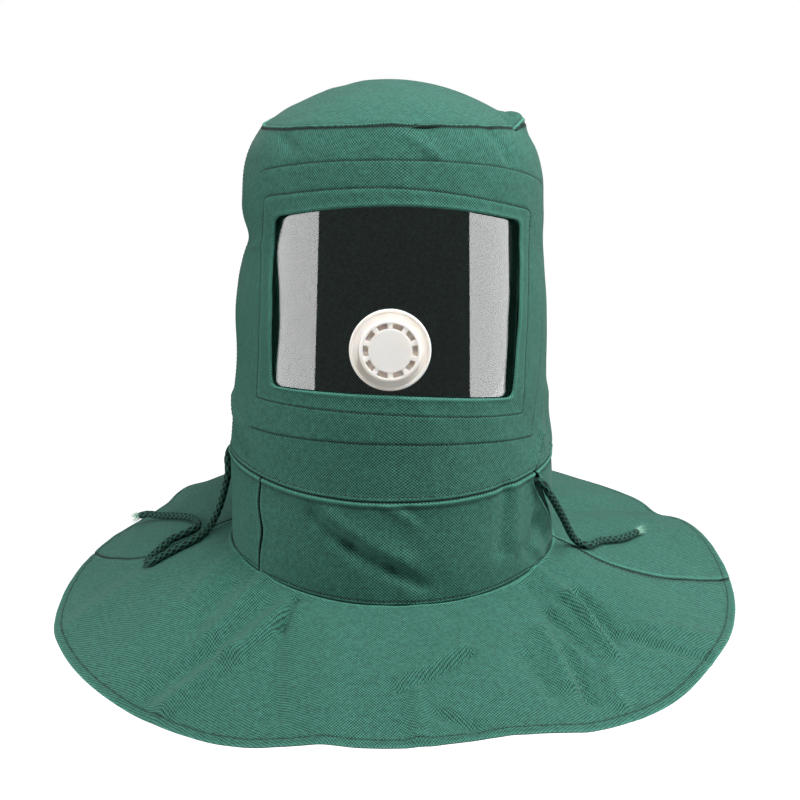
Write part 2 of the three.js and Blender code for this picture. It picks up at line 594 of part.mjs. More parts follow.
// Lens: a flat sheet bent round the face, straight from its top edge to its bottom edge
const LENS_DEPTH = CLOTH + LENS_PLAY;
const LENS_TOP = WINDOW_TOP - LENS_ABOVE;
const LENS_HEIGHT = LENS_ABOVE + WINDOW_HEIGHT + LENS_BELOW;

function plainDeep(turn, drop, depth) {
  const station = stationAtDrop(drop);
  return plainPoint(turn, station).addScaledVector(facing(turn, station).normal, -depth);
}

function lensPoint(turn, drop, depth) {
  const bottom = plainDeep(turn, LENS_TOP + LENS_HEIGHT, depth);
  return plainDeep(turn, LENS_TOP, depth).lerp(bottom, (drop - LENS_TOP) / LENS_HEIGHT);
}

function lens() {
  const drops = [LENS_TOP, LENS_TOP + LENS_HEIGHT];
  const turns = evenSteps(LENS_LEFT, LENS_RIGHT, 22);
  const face = (depth) => drops.map((drop) => turns.map((turn) => lensPoint(turn, drop, depth)));
  const sheet = solidBetween(face(LENS_DEPTH), face(LENS_DEPTH + LENS), false);
  const bore = BOSS_RADIUS + SLIP;
  const hole = new THREE.CylinderGeometry(bore, bore, BOSS_LENGTH * 4, TURNED_SIDES);
  return cut(sheet, [hole.rotateX(Math.PI / 2).applyMatrix4(valveFrame())]);
}

// Pocket: a layer behind the lens, sewn to the front panel round its border, with an opening larger
// than the window
function lensPocket() {
  const border = POCKET_RAMP + POCKET_HEM;
  const bottom = LENS_TOP + LENS_HEIGHT;
  const drops = [
    LENS_TOP - border, LENS_TOP - POCKET_RAMP, ...evenSteps(LENS_TOP - SLIP, bottom + SLIP, 3),
    bottom + POCKET_RAMP, bottom + border,
  ];
  const turns = [
    LENS_LEFT - degreesFor(border), LENS_LEFT - degreesFor(POCKET_RAMP),
    ...evenSteps(LENS_LEFT - degreesFor(SLIP), LENS_RIGHT + degreesFor(SLIP), 14),
    LENS_RIGHT + degreesFor(POCKET_RAMP), LENS_RIGHT + degreesFor(border),
  ];
  const behind = LENS_DEPTH + LENS + SLIP;
  const face = (extra) => drops.map((drop, row) => turns.map((turn, column) => {
    const edge = row < 2 || row >= drops.length - 2 || column < 2 || column >= turns.length - 2;
    if (edge) return hoodPoint(turn, stationAtDrop(drop), CLOTH + POCKET_SLIP + extra);
    return lensPoint(turn, drop, behind + extra);
  }));
  return cut(solidBetween(face(0), face(POCKET_CLOTH), false), [windowCutter(POCKET_REVEAL)]);
}

// Valve: turned pieces on one axis that stands square on the lens; height 0 is the lens's front face
function valveFrame() {
  const face = (turn, drop) => lensPoint(turn, drop, LENS_DEPTH);
  const centre = face(VALVE_TURN, VALVE_DROP);
  const across = face(VALVE_TURN + 1, VALVE_DROP).sub(face(VALVE_TURN - 1, VALVE_DROP));
  const down = face(VALVE_TURN, VALVE_DROP + 1).sub(face(VALVE_TURN, VALVE_DROP - 1));
  const outward = down.clone().cross(across).normalize();
  const right = across.normalize();
  return new THREE.Matrix4().makeBasis(right, outward.clone().cross(right), outward).setPosition(centre);
}

function turned(profile, segments) {
  const points = [...profile, profile[0]].map(([radius, height]) => new THREE.Vector2(radius, height));
  return welded(new THREE.LatheGeometry(points, segments).rotateX(Math.PI / 2));
}

function valveBody() {
  const front = SLIP + FLANGE_THICK;
  const bead = FLANGE_RADIUS - 2 * FLANGE_BEAD;
  return turned([
    [PASSAGE_RADIUS, -BOSS_LENGTH], [BOSS_RADIUS, -BOSS_LENGTH], [BOSS_RADIUS, SLIP],
    [FLANGE_RADIUS - FLANGE_BEAD, SLIP], [FLANGE_RADIUS, SLIP + FLANGE_BEAD], [FLANGE_RADIUS, front],
    [FLANGE_RADIUS - FLANGE_BEAD, front + FLANGE_BEAD], [bead, front + FLANGE_BEAD],
    [bead - FLANGE_BEAD, front], [PASSAGE_RADIUS, front],
  ], TURNED_SIDES);
}

// Cap: a shallow cup over the valve with a ring of slots through its face
function valveCap() {
  const base = SLIP + FLANGE_THICK + SLIP;
  const top = base + CAP_HEIGHT;
  const skirt = CAP_RADIUS - CAP_WALL;
  const profile = [
    [0, top - CAP_WALL], [skirt, top - CAP_WALL], [skirt, base], [CAP_RADIUS, base],
    [CAP_RADIUS, top - CAP_WALL / 2], [CAP_RADIUS - CAP_WALL / 2, top], [0, top],
  ];
  const points = profile.map(([radius, height]) => new THREE.Vector2(radius, height));
  const cup = welded(new THREE.LatheGeometry(points, TURNED_SIDES).rotateX(Math.PI / 2));
  const cutters = Array.from({ length: SLOT_COUNT }, (_, index) => {
    const middle = Math.PI / 2 + (index + 0.5) * 2 * Math.PI / SLOT_COUNT;
    const [start, end] = [middle - radians(SLOT_SPAN / 2), middle + radians(SLOT_SPAN / 2)];
    const sector = new THREE.Shape();
    sector.absarc(0, 0, SLOT_OUTER, start, end, false);
    sector.absarc(0, 0, SLOT_INNER, end, start, true);
    const options = { depth: CAP_HEIGHT, bevelEnabled: false, curveSegments: 2 };
    return new THREE.ExtrudeGeometry(sector, options).translate(0, 0, top - CAP_WALL * 1.5);
  });
  return cut(cup, cutters);
}

// Ring behind the lens, far enough back to clear the lens's curve at its sides
function valveRing() {
  const outer = BOSS_RADIUS + SLIP + RING_WIDTH;
  const curve = outer * outer / HOOD_WIDTH;
  const front = -(LENS + curve + SLIP);
  const inner = BOSS_RADIUS + SLIP;
  const back = front - RING_THICK;
  return turned([[inner, back], [outer, back], [outer, front], [inner, front]], TURNED_SIDES);
}

// Cord: a round tube along a smooth curve
function cordTube(curve) {
  const section = new THREE.Shape();
  for (let side = 0; side < CORD_SIDES; side += 1) {
    const angle = side * 2 * Math.PI / CORD_SIDES;
    const [x, y] = [CORD / 2 * Math.cos(angle), CORD / 2 * Math.sin(angle)];
    if (side === 0) section.moveTo(x, y);
    else section.lineTo(x, y);
  }
  const steps = Math.round(curve.getLength() / CORD_STEP);
  return welded(new THREE.ExtrudeGeometry(section, { steps, extrudePath: curve, bevelEnabled: false }));
}

function tailCurve(points) {
  return new THREE.CatmullRomCurve3(points.map((point) => new THREE.Vector3(...point)));
}

// The stretch inside the casing, round the back of the neck
function hiddenCurve() {
  const station = stationNearNeck(CASING_CENTRE);
  const depth = CLOTH + CASING_SLIP + CORD_PLAY + CORD / 2;
  const turns = evenSteps(CORD_START, CORD_END, 24);
  return new THREE.CatmullRomCurve3(turns.map((turn) => hoodPoint(turn, station, depth)));
}

const GREEN_CLOTH = { color: 0x3d7562, roughness: 0.86, metalness: 0 };
const GREEN_CORD = { color: 0x1c4a3a, roughness: 0.7, metalness: 0 };
const CLEAR_SHEET = { color: 0xdfe6ea, roughness: 0.06, metalness: 0, transparent: true, opacity: 0.35 };
const WHITE_PLASTIC = { color: 0xf4ece4, roughness: 0.4, metalness: 0 };

const hood = new THREE.Group();
hood.name = 'sandblasting_hood';

function add(name, geometry, finish, matrix) {
  const mesh = new THREE.Mesh(geometry, new THREE.MeshStandardMaterial({ ...finish }));
  mesh.name = name;
  if (matrix) mesh.applyMatrix4(matrix);
  hood.add(mesh);
}

add('crown', crown(), GREEN_CLOTH);
add('front_panel', frontPanel(), GREEN_CLOTH);
add('back_panel', backPanel(), GREEN_CLOTH);
add('neck_front', neckFront(), GREEN_CLOTH);
add('neck_back', neckBack(), GREEN_CLOTH);
add('neck_casing', neckCasing(), GREEN_CLOTH);
add('cape_front', capeFront(), GREEN_CLOTH);
add('cape_back', capeBack(), GREEN_CLOTH);
add('lens_pocket', lensPocket(), GREEN_CLOTH);
add('lens', lens(), CLEAR_SHEET);
add('valve_body', valveBody(), WHITE_PLASTIC, valveFrame());
add('valve_cap', valveCap(), WHITE_PLASTIC, valveFrame());
add('valve_ring', valveRing(), WHITE_PLASTIC, valveFrame());
add('drawcord_left', cordTube(tailCurve(LEFT_TAIL)), GREEN_CORD);
add('drawcord_back', cordTube(hiddenCurve()), GREEN_CORD);
add('drawcord_right', cordTube(tailCurve(RIGHT_TAIL)), GREEN_CORD);

export default hood;
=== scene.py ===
import bmesh
import bpy
import numpy as np
from mathutils import Matrix, Vector


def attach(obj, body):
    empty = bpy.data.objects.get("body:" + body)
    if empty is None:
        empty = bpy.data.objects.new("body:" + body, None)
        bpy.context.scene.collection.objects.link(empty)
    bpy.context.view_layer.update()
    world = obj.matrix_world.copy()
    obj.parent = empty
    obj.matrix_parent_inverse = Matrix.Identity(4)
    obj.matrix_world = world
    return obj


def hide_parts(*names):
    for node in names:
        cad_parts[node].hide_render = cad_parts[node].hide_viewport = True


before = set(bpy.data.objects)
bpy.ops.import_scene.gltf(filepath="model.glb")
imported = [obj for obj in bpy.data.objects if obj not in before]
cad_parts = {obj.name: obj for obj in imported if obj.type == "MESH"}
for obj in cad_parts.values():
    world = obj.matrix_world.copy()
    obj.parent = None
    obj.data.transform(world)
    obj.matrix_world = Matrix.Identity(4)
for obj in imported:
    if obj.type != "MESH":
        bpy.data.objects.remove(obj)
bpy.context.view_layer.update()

scene = bpy.context.scene
scene.view_settings.view_transform = "Standard"

# View and studio. The camera stands a little above the window and to one side of it. Two tall softboxes
# stand beside the hood, where the curved lens mirrors them, and a large one hangs high in front of it.
AIM = Vector((0.006, -0.0004, -0.2204))
VIEW_DISTANCE = 1.4
camera = bpy.data.objects.new("camera", bpy.data.cameras.new("camera"))
camera.data.lens = 90
toward_camera = Vector((-0.06823, -0.97577, 0.20791))
camera.matrix_world = Matrix.Translation(AIM + VIEW_DISTANCE * toward_camera) @ (
    toward_camera.to_track_quat("Z", "Y").to_matrix().to_4x4()
)
scene.collection.objects.link(camera)
scene.camera = camera


def softbox(name, turn, climb, distance, height, size, power):
    """A rectangular light at a turn and a climb round the hood, in degrees, that faces the hood's axis."""
    turn, climb = np.radians([turn, climb])
    away = Vector((np.sin(turn) * np.cos(climb), -np.cos(turn) * np.cos(climb), np.sin(climb)))
    light = bpy.data.objects.new(name, bpy.data.lights.new(name, "AREA"))
    light.data.shape = "RECTANGLE"
    light.data.size, light.data.size_y = size
    light.data.energy = power
    light.matrix_world = Matrix.Translation(Vector((0, 0, height)) + distance * away) @ (
        away.to_track_quat("Z", "Y").to_matrix().to_4x4()
    )
    scene.collection.objects.link(light)


softbox("softbox_left", -78, 0, 1.25, -0.2, (1.06, 1.4), 13)
softbox("softbox_right", 71, 0, 1.25, -0.2, (0.97, 1.4), 13.5)
softbox("softbox_high", 30, 64, 1.5, -0.2, (1.0, 0.8), 34)
softbox("softbox_back", 165, 45, 1.6, -0.2, (1.4, 0.9), 5)

world = bpy.data.worlds.new("studio")
scene.world = world
world.use_nodes = True
sky = world.node_tree.nodes["Background"]
ray = world.node_tree.nodes.new("ShaderNodeLightPath")
seen = world.node_tree.nodes.new("ShaderNodeMath")
seen.operation = "MULTIPLY_ADD"
world.node_tree.links.new(ray.outputs["Is Camera Ray"], seen.inputs[0])
seen.inputs[1].default_value = 0.9
seen.inputs[2].default_value = 0.1
world.node_tree.links.new(seen.outputs[0], sky.inputs["Strength"])
sky.inputs["Color"].default_value = (1, 1, 1, 1)

FLOOR_DROP, FLOOR_REACH = -0.9, 6
floor_mesh = bpy.data.meshes.new("floor")
corners = [(x * FLOOR_REACH, y * FLOOR_REACH, FLOOR_DROP) for x, y in ((-1, -1), (1, -1), (1, 1), (-1, 1))]
floor_mesh.from_pydata(corners, [], [(0, 1, 2, 3)])
floor = bpy.data.objects.new("floor", floor_mesh)
scene.collection.objects.link(floor)
floor.visible_glossy = False
floor.visible_diffuse = False
floor_white = bpy.data.materials.new("floor_white")
floor_white.use_nodes = True
floor_shader = floor_white.node_tree.nodes["Principled BSDF"]
floor_shader.inputs["Base Color"].default_value = (0.4, 0.4, 0.4, 1)
floor_shader.inputs["Roughness"].default_value = 1
floor_shader.inputs["Emission Color"].default_value = (1, 1, 1, 1)
floor_shader.inputs["Emission Strength"].default_value = 1
floor_mesh.materials.append(floor_white)

# Drawcord: a braided cotton cord that runs round the back of the neck in a casing. Its ends come out through
# a buttonhole and a slit and lie on the cape, cut off and a little frayed.
CORD_RADIUS = 2.5
BRAID_PITCH = 6.2
BRAID_STRANDS = 4
RIGHT_TAIL = [
    (94.9, -54.9, -264.2), (92.9, -58.1, -264.6), (91.4, -61.4, -264.6), (91.7, -66.0, -264.0),
    (93.7, -69.6, -263.0), (95.6, -74.4, -262.6), (98.2, -76.4, -264.2), (100.4, -75.0, -268.8),
    (104.4, -69.0, -275.0), (108.7, -61.4, -282.6), (113.3, -53.4, -291.0), (117.6, -45.6, -299.4),
    (121.8, -37.6, -307.7), (125.9, -31.8, -314.5), (130.6, -29.4, -318.6), (135.0, -30.3, -319.9),
    (139.9, -25.5, -320.4), (147.2, -14.7, -321.3), (154.4, -8.3, -322.5), (162.5, -1.6, -324.0),
    (170.5, 7.5, -325.0), (175.8, 13.8, -325.0), (180.1, 19.3, -325.1),
]
LEFT_TAIL = [
    (-94.8, 53.2, -256.9), (-96.6, 47.4, -257.6), (-101.3, 44.7, -258.4), (-106.3, 42.0, -259.0),
    (-110.8, 37.9, -259.9), (-113.9, 33.2, -262.4), (-115.4, 29.6, -268.0), (-115.2, 28.0, -276.6),
    (-116.9, 30.0, -285.5), (-119.1, 32.5, -294.7), (-121.5, 34.0, -302.8), (-124.4, 33.0, -310.0),
    (-127.9, 28.0, -315.3), (-132.0, 19.0, -318.4), (-136.5, 11.3, -320.2), (-142.4, 6.8, -322.5),
    (-148.5, 4.0, -324.6), (-155.2, 2.3, -327.5), (-161.9, -0.5, -330.3), (-166.9, -5.1, -332.0),
    (-170.2, -7.7, -333.2), (-172.8, -0.9, -334.4), (-171.8, 6.7, -333.8), (-167.4, 13.8, -331.7),
    (-162.1, 20.1, -328.5), (-156.9, 27.3, -326.0), (-149.3, 28.4, -323.0), (-142.9, 31.0, -320.8),
    (-138.9, 35.1, -319.5), (-137.8, 42.7, -318.7), (-140.9, 56.2, -319.3), (-147.2, 68.0, -320.7),
    (-154.8, 79.5, -323.1), (-162.4, 90.6, -325.8), (-169.5, 101.0, -328.3), (-175.6, 108.5, -329.2),
    (-180.2, 113.5, -330.6), (-184.4, 117.0, -332.6),
]


class Wire:
    """A node's output that can be used in Python sums: each operator adds one Math node to its tree."""

    def __init__(self, socket):
        self.socket = socket

    def node(self, kind, inputs, output=0, stops=None, **settings):
        """A new node: first its settings and a ramp's stops, then the values or links of its inputs."""
        tree = self.socket.id_data
        made = tree.nodes.new(kind)
        for setting, value in settings.items():
            setattr(made, setting, value)
        if stops:
            ramp = made.color_ramp.elements
            while len(ramp) < len(stops):
                ramp.new(0.5)
            for element, (place, colour) in zip(ramp, stops):
                element.position, element.color = place, colour
        for name, value in dict(inputs).items():
            if isinstance(value, Wire):
                tree.links.new(value.socket, made.inputs[name])
            else:
                made.inputs[name].default_value = value
        return Wire(made.outputs[output])

    def math(self, operation, *values):
        return self.node("ShaderNodeMath", enumerate(values), operation=operation)

    def __add__(self, other):
        return self.math("ADD", self, other)

    def __radd__(self, other):
        return self.math("ADD", other, self)

    def __sub__(self, other):
        return self.math("SUBTRACT", self, other)

    def __rsub__(self, other):
        return self.math("SUBTRACT", other, self)

    def __mul__(self, other):
        return self.math("MULTIPLY", self, other)

    def __rmul__(self, other):
        return self.math("MULTIPLY", other, self)

    def cosine(self):
        return self.math("COSINE", self)

    def noise(self, scale, detail=2.0):
        """A noise's value from 0 to 1 at this place."""
        return self.node("ShaderNodeTexNoise", {"Vector": self, "Scale": scale, "Detail": detail})

    def blend(self, low, high):
        """A colour between two by this share."""
        inputs = {0: self, 6: low, 7: high}
        return self.node("ShaderNodeMix", inputs, output=2, data_type="RGBA")


def new_material(name):
    """A material, its shader, and the place on the object and on the piece's own map as wires."""
    material = bpy.data.materials.new(name)
    material.use_nodes = True
    nodes = material.node_tree.nodes
    place = Wire(nodes.new("ShaderNodeTexCoord").outputs["Object"])
    cut = nodes.new("ShaderNodeUVMap")
    cut.uv_map = "cut"
    return material, nodes["Principled BSDF"], place, Wire(cut.outputs["UV"])


def feed(shader, **sockets):
    """Sets a shader's sockets, named with underscores, to values or to what varies over the surface."""
    for name, value in sockets.items():
        socket = shader.inputs[name.replace("_", " ")]
        if isinstance(value, Wire):
            shader.id_data.links.new(value.socket, socket)
        else:
            socket.default_value = value


def braid_material():
    """Dark green cotton, with a painted highlight on the strands' backs and painted shade where they dive
    under.
    """
    material, shader, place, cut = new_material("braided_cord")
    relief = cut.node("ShaderNodeAttribute", {}, output=2, attribute_name="relief")
    fibre = place.noise(1900.0, 3.0)
    # Painted light and shade: the relief lightens the strands' backs and darkens the hollows where they dive
    # under.
    share = relief * 2.2 + fibre * 0.5 - 1.8
    colour = share.blend((0.002, 0.012, 0.009, 1), (0.045, 0.19, 0.14, 1))
    bump = fibre.node("ShaderNodeBump", {"Strength": 0.5, "Distance": 0.0002, "Height": fibre}, output=0)
    feed(shader, Base_Color=colour, Roughness=0.8, Normal=bump, Specular_IOR_Level=0.3)
    return material


BRAID = braid_material()


def spline(a, b, c, d, share):
    """A Catmull-Rom curve from b to c, whose slope at each is half the step between its neighbours."""
    square, cube = 2 * a - 5 * b + 4 * c - d, 3 * b - a - 3 * c + d
    return 0.5 * (2 * b + (c - a) * share + square * share**2 + cube * share**3)


def through(points, spacing):
    """Evenly spaced points of the curve through a list of points."""
    points = np.array(points, float)
    ends = [2 * points[:1] - points[1:2], points, 2 * points[-1:] - points[-2:-1]]
    around = np.concatenate(ends)
    a, b, c, d = (around[first : len(around) - 3 + first, None] for first in range(4))
    share = np.linspace(0, 1, 40, endpoint=False)[None, :, None]
    curve = spline(a, b, c, d, share)
    return evenly(np.concatenate([curve.reshape(-1, 3), points[-1:]]), spacing)


def evenly(line, spacing):
    """Points at equal steps of about the spacing along a line of points."""
    run = np.concatenate([[0], np.cumsum(np.linalg.norm(np.diff(line, axis=0), axis=1))])
    steps = np.linspace(0, run[-1], int(run[-1] / spacing) + 1)
    return np.stack([np.interp(steps, run, line[:, axis]) for axis in range(line.shape[1])], axis=-1)


def unit(vectors):
    return vectors / np.maximum(np.linalg.norm(vectors, axis=-1, keepdims=True), 1e-9)


def across(path):
    """The path's direction and two directions square to it, each carried on from the last so none spins."""
    ahead = unit(np.gradient(path, axis=0))
    side = np.cross(ahead[0], (0.3, 0.2, 1.0))
    sides = np.empty_like(path)
    for step, direction in enumerate(ahead):
        side = unit(side - direction * side.dot(direction))
        sides[step] = side
    return ahead, sides, np.cross(ahead, sides)


def placed(name, mesh, material):
    """An object of a mesh and a material, on the part's one body."""
    mesh.materials.append(material)
    piece = bpy.data.objects.new(name, mesh)
    scene.collection.objects.link(piece)
    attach(piece, "root")
    return piece


def settle(piece):
    """Turns a piece's modifiers into mesh."""
    mesh = bpy.data.meshes.new_from_object(piece.evaluated_get(bpy.context.evaluated_depsgraph_get()))
    piece.modifiers.clear()
    piece.data = mesh
    return mesh


def skin(name, points, material, cut=None, around=False, ring=False, outward=True, values=None):
    """A piece from a grid of points in millimetres: quads between neighbours in rows and columns. around
    joins the last column to the first, ring the last row to the first. Points that coincide are merged."""
    rows, columns = points.shape[:2]
    index = np.arange(rows * columns).reshape(rows, columns)
    if around:
        index = np.concatenate([index, index[:, :1]], axis=1)
    if ring:
        index = np.concatenate([index, index[:1]], axis=0)
    order = [np.s_[:-1, :-1], np.s_[1:, :-1], np.s_[1:, 1:], np.s_[:-1, 1:]]
    if not outward:
        order.reverse()
    faces = np.stack([index[part] for part in order], axis=-1).reshape(-1, 4)
    mesh = bpy.data.meshes.new(name)
    mesh.from_pydata((points.reshape(-1, 3) * 0.001).tolist(), [], faces.tolist())
    if cut is not None:
        spread = np.stack([cut[part] for part in order], axis=-2)
        mesh.uv_layers.new(name="cut").data.foreach_set("uv", spread.reshape(-1) * 0.001)
    for title, value in (values or {}).items():
        mesh.attributes.new(title, "FLOAT", "POINT").data.foreach_set("value", value.reshape(-1))
    welded = bmesh.new()
    welded.from_mesh(mesh)
    bmesh.ops.remove_doubles(welded, verts=welded.verts, dist=2e-6)
    bmesh.ops.dissolve_degenerate(welded, edges=welded.edges, dist=1e-7)
    welded.to_mesh(mesh)
    welded.free()
    mesh.shade_smooth()
    return placed(name, mesh, material)


def braided(name, path):
    """A tube round a path: its radius rises over strands on two sets of spirals that run against each other,
    and draws in at both ends."""
    ahead, side, over = across(path)
    run = np.arange(len(path)) * np.linalg.norm(path[1] - path[0])
    angle = np.linspace(0, 2 * np.pi, 33)[:-1]
    spiral = 2 * np.pi * run[:, None] / BRAID_PITCH
    relief = np.maximum(np.cos(BRAID_STRANDS * angle + spiral), np.cos(BRAID_STRANDS * angle - spiral))
    end = np.minimum(run, run[-1] - run)[:, None]
    radius = CORD_RADIUS * (0.94 + 0.12 * relief) * np.sqrt(np.clip(end / 0.8, 0, 1))
    ray = np.cos(angle)[:, None] * side[:, None] + np.sin(angle)[:, None] * over[:, None]
    points = path[:, None] + radius[..., None] * ray
    return skin(name, points, BRAID, around=True, outward=False, values={"relief": 0.5 + 0.5 * relief})


def frayed(name, path, seed):
    """Loose yarns at a cord's end: thin three-sided hairs that start in its end and bend apart."""
    ahead, side, over = across(path[-12:])
    chance = np.random.default_rng(seed)
    count = 90
    angle = chance.uniform(0, 2 * np.pi, count)
    start = np.sqrt(chance.uniform(0, 1, count)) * CORD_RADIUS * 0.85
    length = chance.uniform(4.0, 9.5, count)
    spread = chance.uniform(0.5, 3.4, count)
    drift = chance.normal(0, 1.1, (count, 3))
    out = np.cos(angle)[:, None] * side[-1] + np.sin(angle)[:, None] * over[-1]
    share = np.linspace(0, 1, 6)[:, None, None]
    centre = path[-1] - 2.0 * ahead[-1] + out * start[:, None]
    centre = centre + share * (length[:, None] + 2.0) * ahead[-1] + share**2 * (spread[:, None] * out + drift)
    corner = np.radians([0, 120, 240])
    ray = np.cos(corner)[:, None] * side[-1] + np.sin(corner)[:, None] * over[-1]
    points = centre[:, :, None] + 0.17 * (1 - 0.85 * share[..., None]) * ray
    index = np.arange(6 * count * 3).reshape(6, count, 3)
    turned = np.roll(index, -1, axis=2)
    quads = np.stack([index[:-1], turned[:-1], turned[1:], index[1:]], axis=-1).reshape(-1, 4)
    caps = [index[0, :, ::-1].tolist(), index[-1].tolist()]
    mesh = bpy.data.meshes.new(name)
    mesh.from_pydata((points.reshape(-1, 3) * 0.001).tolist(), [], quads.tolist() + caps[0] + caps[1])
    piece = placed(name, mesh, YARN)
    return piece


def yarn_material():
    """Loose yarn, paler than the cord because light passes through it."""
    material, shader, place, cut = new_material("loose_yarn")
    colour = place.noise(260.0).blend((0.10, 0.30, 0.21, 1), (0.36, 0.60, 0.46, 1))
    feed(shader, Base_Color=colour, Roughness=0.8)
    return material


YARN = yarn_material()

for node, route, seed in (("drawcord_left", LEFT_TAIL, 4), ("drawcord_right", RIGHT_TAIL, 9)):
    path = through(route, 0.45)
    cord = braided(node + "_braid", path)
    fray = frayed(node + "_fray", path, seed)
    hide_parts(node)

# Crown: a round piece of cloth over the head, sewn to the top of the head tube with its edge turned up.
# The hood's surface is numbered down its length: 0 at the top, 1 at the crown seam, 2 at the neck seam,
# 3 at the cape seam and 4 at the hem, with a turn in degrees round from the front.
HOOD_WIDTH, HOOD_DEPTH, SEAT_TO_NECK, BAND_HEIGHT = 217.0, 232.0, 266.0, 70.0
CAPE_REACH, CAPE_FALL, CAPE_RISE = 236.0, 50.0, 5.0
CLOTH = 1.6
FOLD_WIDTH, FOLD_DEPTH = 11.0, 3.6
SECTION_POWER = 2.2
CROWN_RADIUS, FRONT_LENGTH, BACK_LENGTH, BAND_LENGTH = 97, 235, 222, 68
SIDE_STEP, SHARP_FROM = 1.9, 50
TUBE = {
    "front": [0.092, 0.150, 0.225, 0.310, 0.405, 0.560, 0.730, 0.860, 1.000],
    "side": [0.118, 0.170, 0.235, 0.310, 0.405, 0.560, 0.725, 0.840, 0.950],
    "back": [0.085, 0.140, 0.215, 0.300, 0.395, 0.545, 0.700, 0.800, 0.885],
    "width": [0.812, 0.895, 0.937, 0.947, 0.943, 0.983, 0.988, 1.000, 1.032],
    "fore": [0.80, 0.85, 0.885, 0.91, 0.928, 0.952, 0.974, 0.985, 0.985],
    "aft": [0.84, 0.90, 0.96, 0.985, 1.0, 1.0, 0.98, 0.95, 0.92],
    "lean": [0, 0.004, 0.004, 0.003, 0.006, -0.001, -0.001, -0.008, -0.003],
}
BAND = {
    "front": [0, 0.52, 1], "side": [0, 0.50, 0.93], "back": [0, 0.48, 0.85],
    "width": [1.032, 1.040, 1.036], "fore": [0.985, 0.985, 0.975], "aft": [0.92, 0.91, 0.92],
    "lean": [-0.003, 0, 0],
}
HEM_REACH = [
    1.000, 1.004, 1.008, 1.004, 1.004, 1.004, 1.008, 1.004, 1.000, 1.000, 0.996, 0.996,
    0.996, 1.000, 1.008, 1.017, 1.021, 1.025, 1.038, 1.042, 1.034, 1.017, 1.004, 1.000,
]
HEM_FALL = [
    0.34, 0.39, 0.47, 0.69, 0.78, 0.92, 1.12, 1.20, 1.25, 1.28, 1.25, 1.04,
    1.00, 0.95, 1.15, 1.20, 1.05, 1.02, 0.80, 0.50, 0.46, 0.43, 0.39, 0.37,
]
# Each fold runs straight from one turn and station to another; width and height are shares of a full fold.
FOLDS = [
    (7.5, 0.92, 7.5, 1.03, 0.8, -0.35), (-2, 0.95, -3, 1.02, 0.5, 0.3),
    (-52.5, 1.05, -43.5, 1.11, 0.35, -0.5), (39, 1.03, 42.5, 1.16, 0.35, -0.55),
    (0.5, 1.04, 10.5, 1.14, 0.3, 0.45), (82, 0.97, 108, 0.97, 0.7, 1.1), (72, 0.87, 64, 0.985, 0.35, -1.0),
    (86, 0.90, 74, 0.985, 0.4, 0.9), (-100, 1.50, -76, 1.485, 0.8, -0.9), (-80, 1.515, -60, 1.49, 0.4, 0.4),
    (-90, 1.85, -72, 1.90, 0.4, 0.6), (-89, 1.895, -64, 1.965, 0.4, -0.9), (69, 1.80, 65, 1.92, 0.22, 0.6),
    (65, 1.92, 55, 1.985, 0.22, 0.6), (86, 1.85, 88, 1.97, 0.9, 0.8), (76, 1.86, 78, 1.97, 0.5, -0.6),
    (152, 1.62, 148, 1.90, 1.0, -0.8), (178, 1.55, 182, 1.90, 1.2, 0.8),
    (-140, 1.60, -146, 1.90, 1.0, -0.9), (160, 2.50, 154, 2.95, 0.9, 0.7),
    (-158, 2.50, -152, 2.95, 0.9, -0.7), (-29, 2.20, -15.5, 2.43, 0.45, -0.9),
    (-15.5, 2.43, -2.5, 2.64, 0.45, -1.0), (-2.5, 2.64, 5, 2.80, 0.4, -0.9), (-22, 2.18, 1, 2.56, 0.6, 0.6),
    (1.5, 2.05, 4.5, 2.17, 0.3, -0.4), (-4.5, 2.03, 3, 2.18, 0.3, 0.4), (37, 2.04, 34.5, 2.60, 0.5, -0.8),
    (42, 2.10, 41, 2.55, 0.6, 0.5), (58.5, 2.52, 50, 2.74, 0.5, -0.9), (54.5, 2.50, 68, 2.82, 0.5, -0.9),
    (52.5, 2.74, 61.5, 3.0, 0.4, 0.6), (-34, 3.14, -38.5, 3.53, 0.6, 1.3),
    (-38.5, 3.53, -43, 3.90, 0.75, 1.4), (-42, 3.18, -44, 3.58, 0.6, -0.9),
    (-44, 3.58, -48, 3.88, 0.68, -0.8), (-33.5, 3.07, -32, 3.29, 0.26, -1.3),
    (-50, 3.04, -47, 3.45, 0.52, 0.8), (-57, 3.17, -52, 3.48, 0.52, -0.7),
    (-32, 3.29, -23.5, 3.82, 0.68, -0.9), (-19, 3.21, -14, 3.94, 1.2, 0.8), (48, 3.26, 43, 3.65, 0.41, 1.5),
    (53, 3.28, 47, 3.60, 0.38, -1.3), (40, 3.29, 38.5, 3.66, 0.38, -1.2), (32.5, 3.38, 29, 3.73, 0.52, 1.4),
    (34.5, 3.53, 31, 3.84, 0.38, -1.2), (25, 3.51, 24.5, 3.77, 0.45, -0.9),
    (-2, 3.66, 12.5, 3.46, 0.3, -1.1), (-2.5, 3.58, 11.5, 3.39, 0.38, 0.6),
    (39.5, 3.58, 36, 3.90, 0.45, 0.9), (49, 3.59, 58.5, 3.97, 0.38, -1.0),
    (55.5, 3.62, 65.5, 3.94, 0.6, 0.6), (43.5, 3.08, 35, 3.46, 0.52, -0.7),
    (0.5, 3.66, 0.5, 3.95, 0.45, 0.9), (4, 3.83, 9, 3.94, 0.38, -0.8), (52.5, 3.02, 46, 3.42, 0.45, 0.7),
    (-84, 3.50, -80, 4.0, 1.6, 0.7), (-70, 3.07, -62, 3.37, 0.9, 0.6), (112, 3.30, 118, 4.0, 1.4, -1.2),
    (150, 3.10, 156, 4.0, 1.6, 1.3), (-172, 3.20, -168, 4.0, 1.4, -1.0), (-138, 3.10, -140, 4.0, 1.6, 1.4),
]


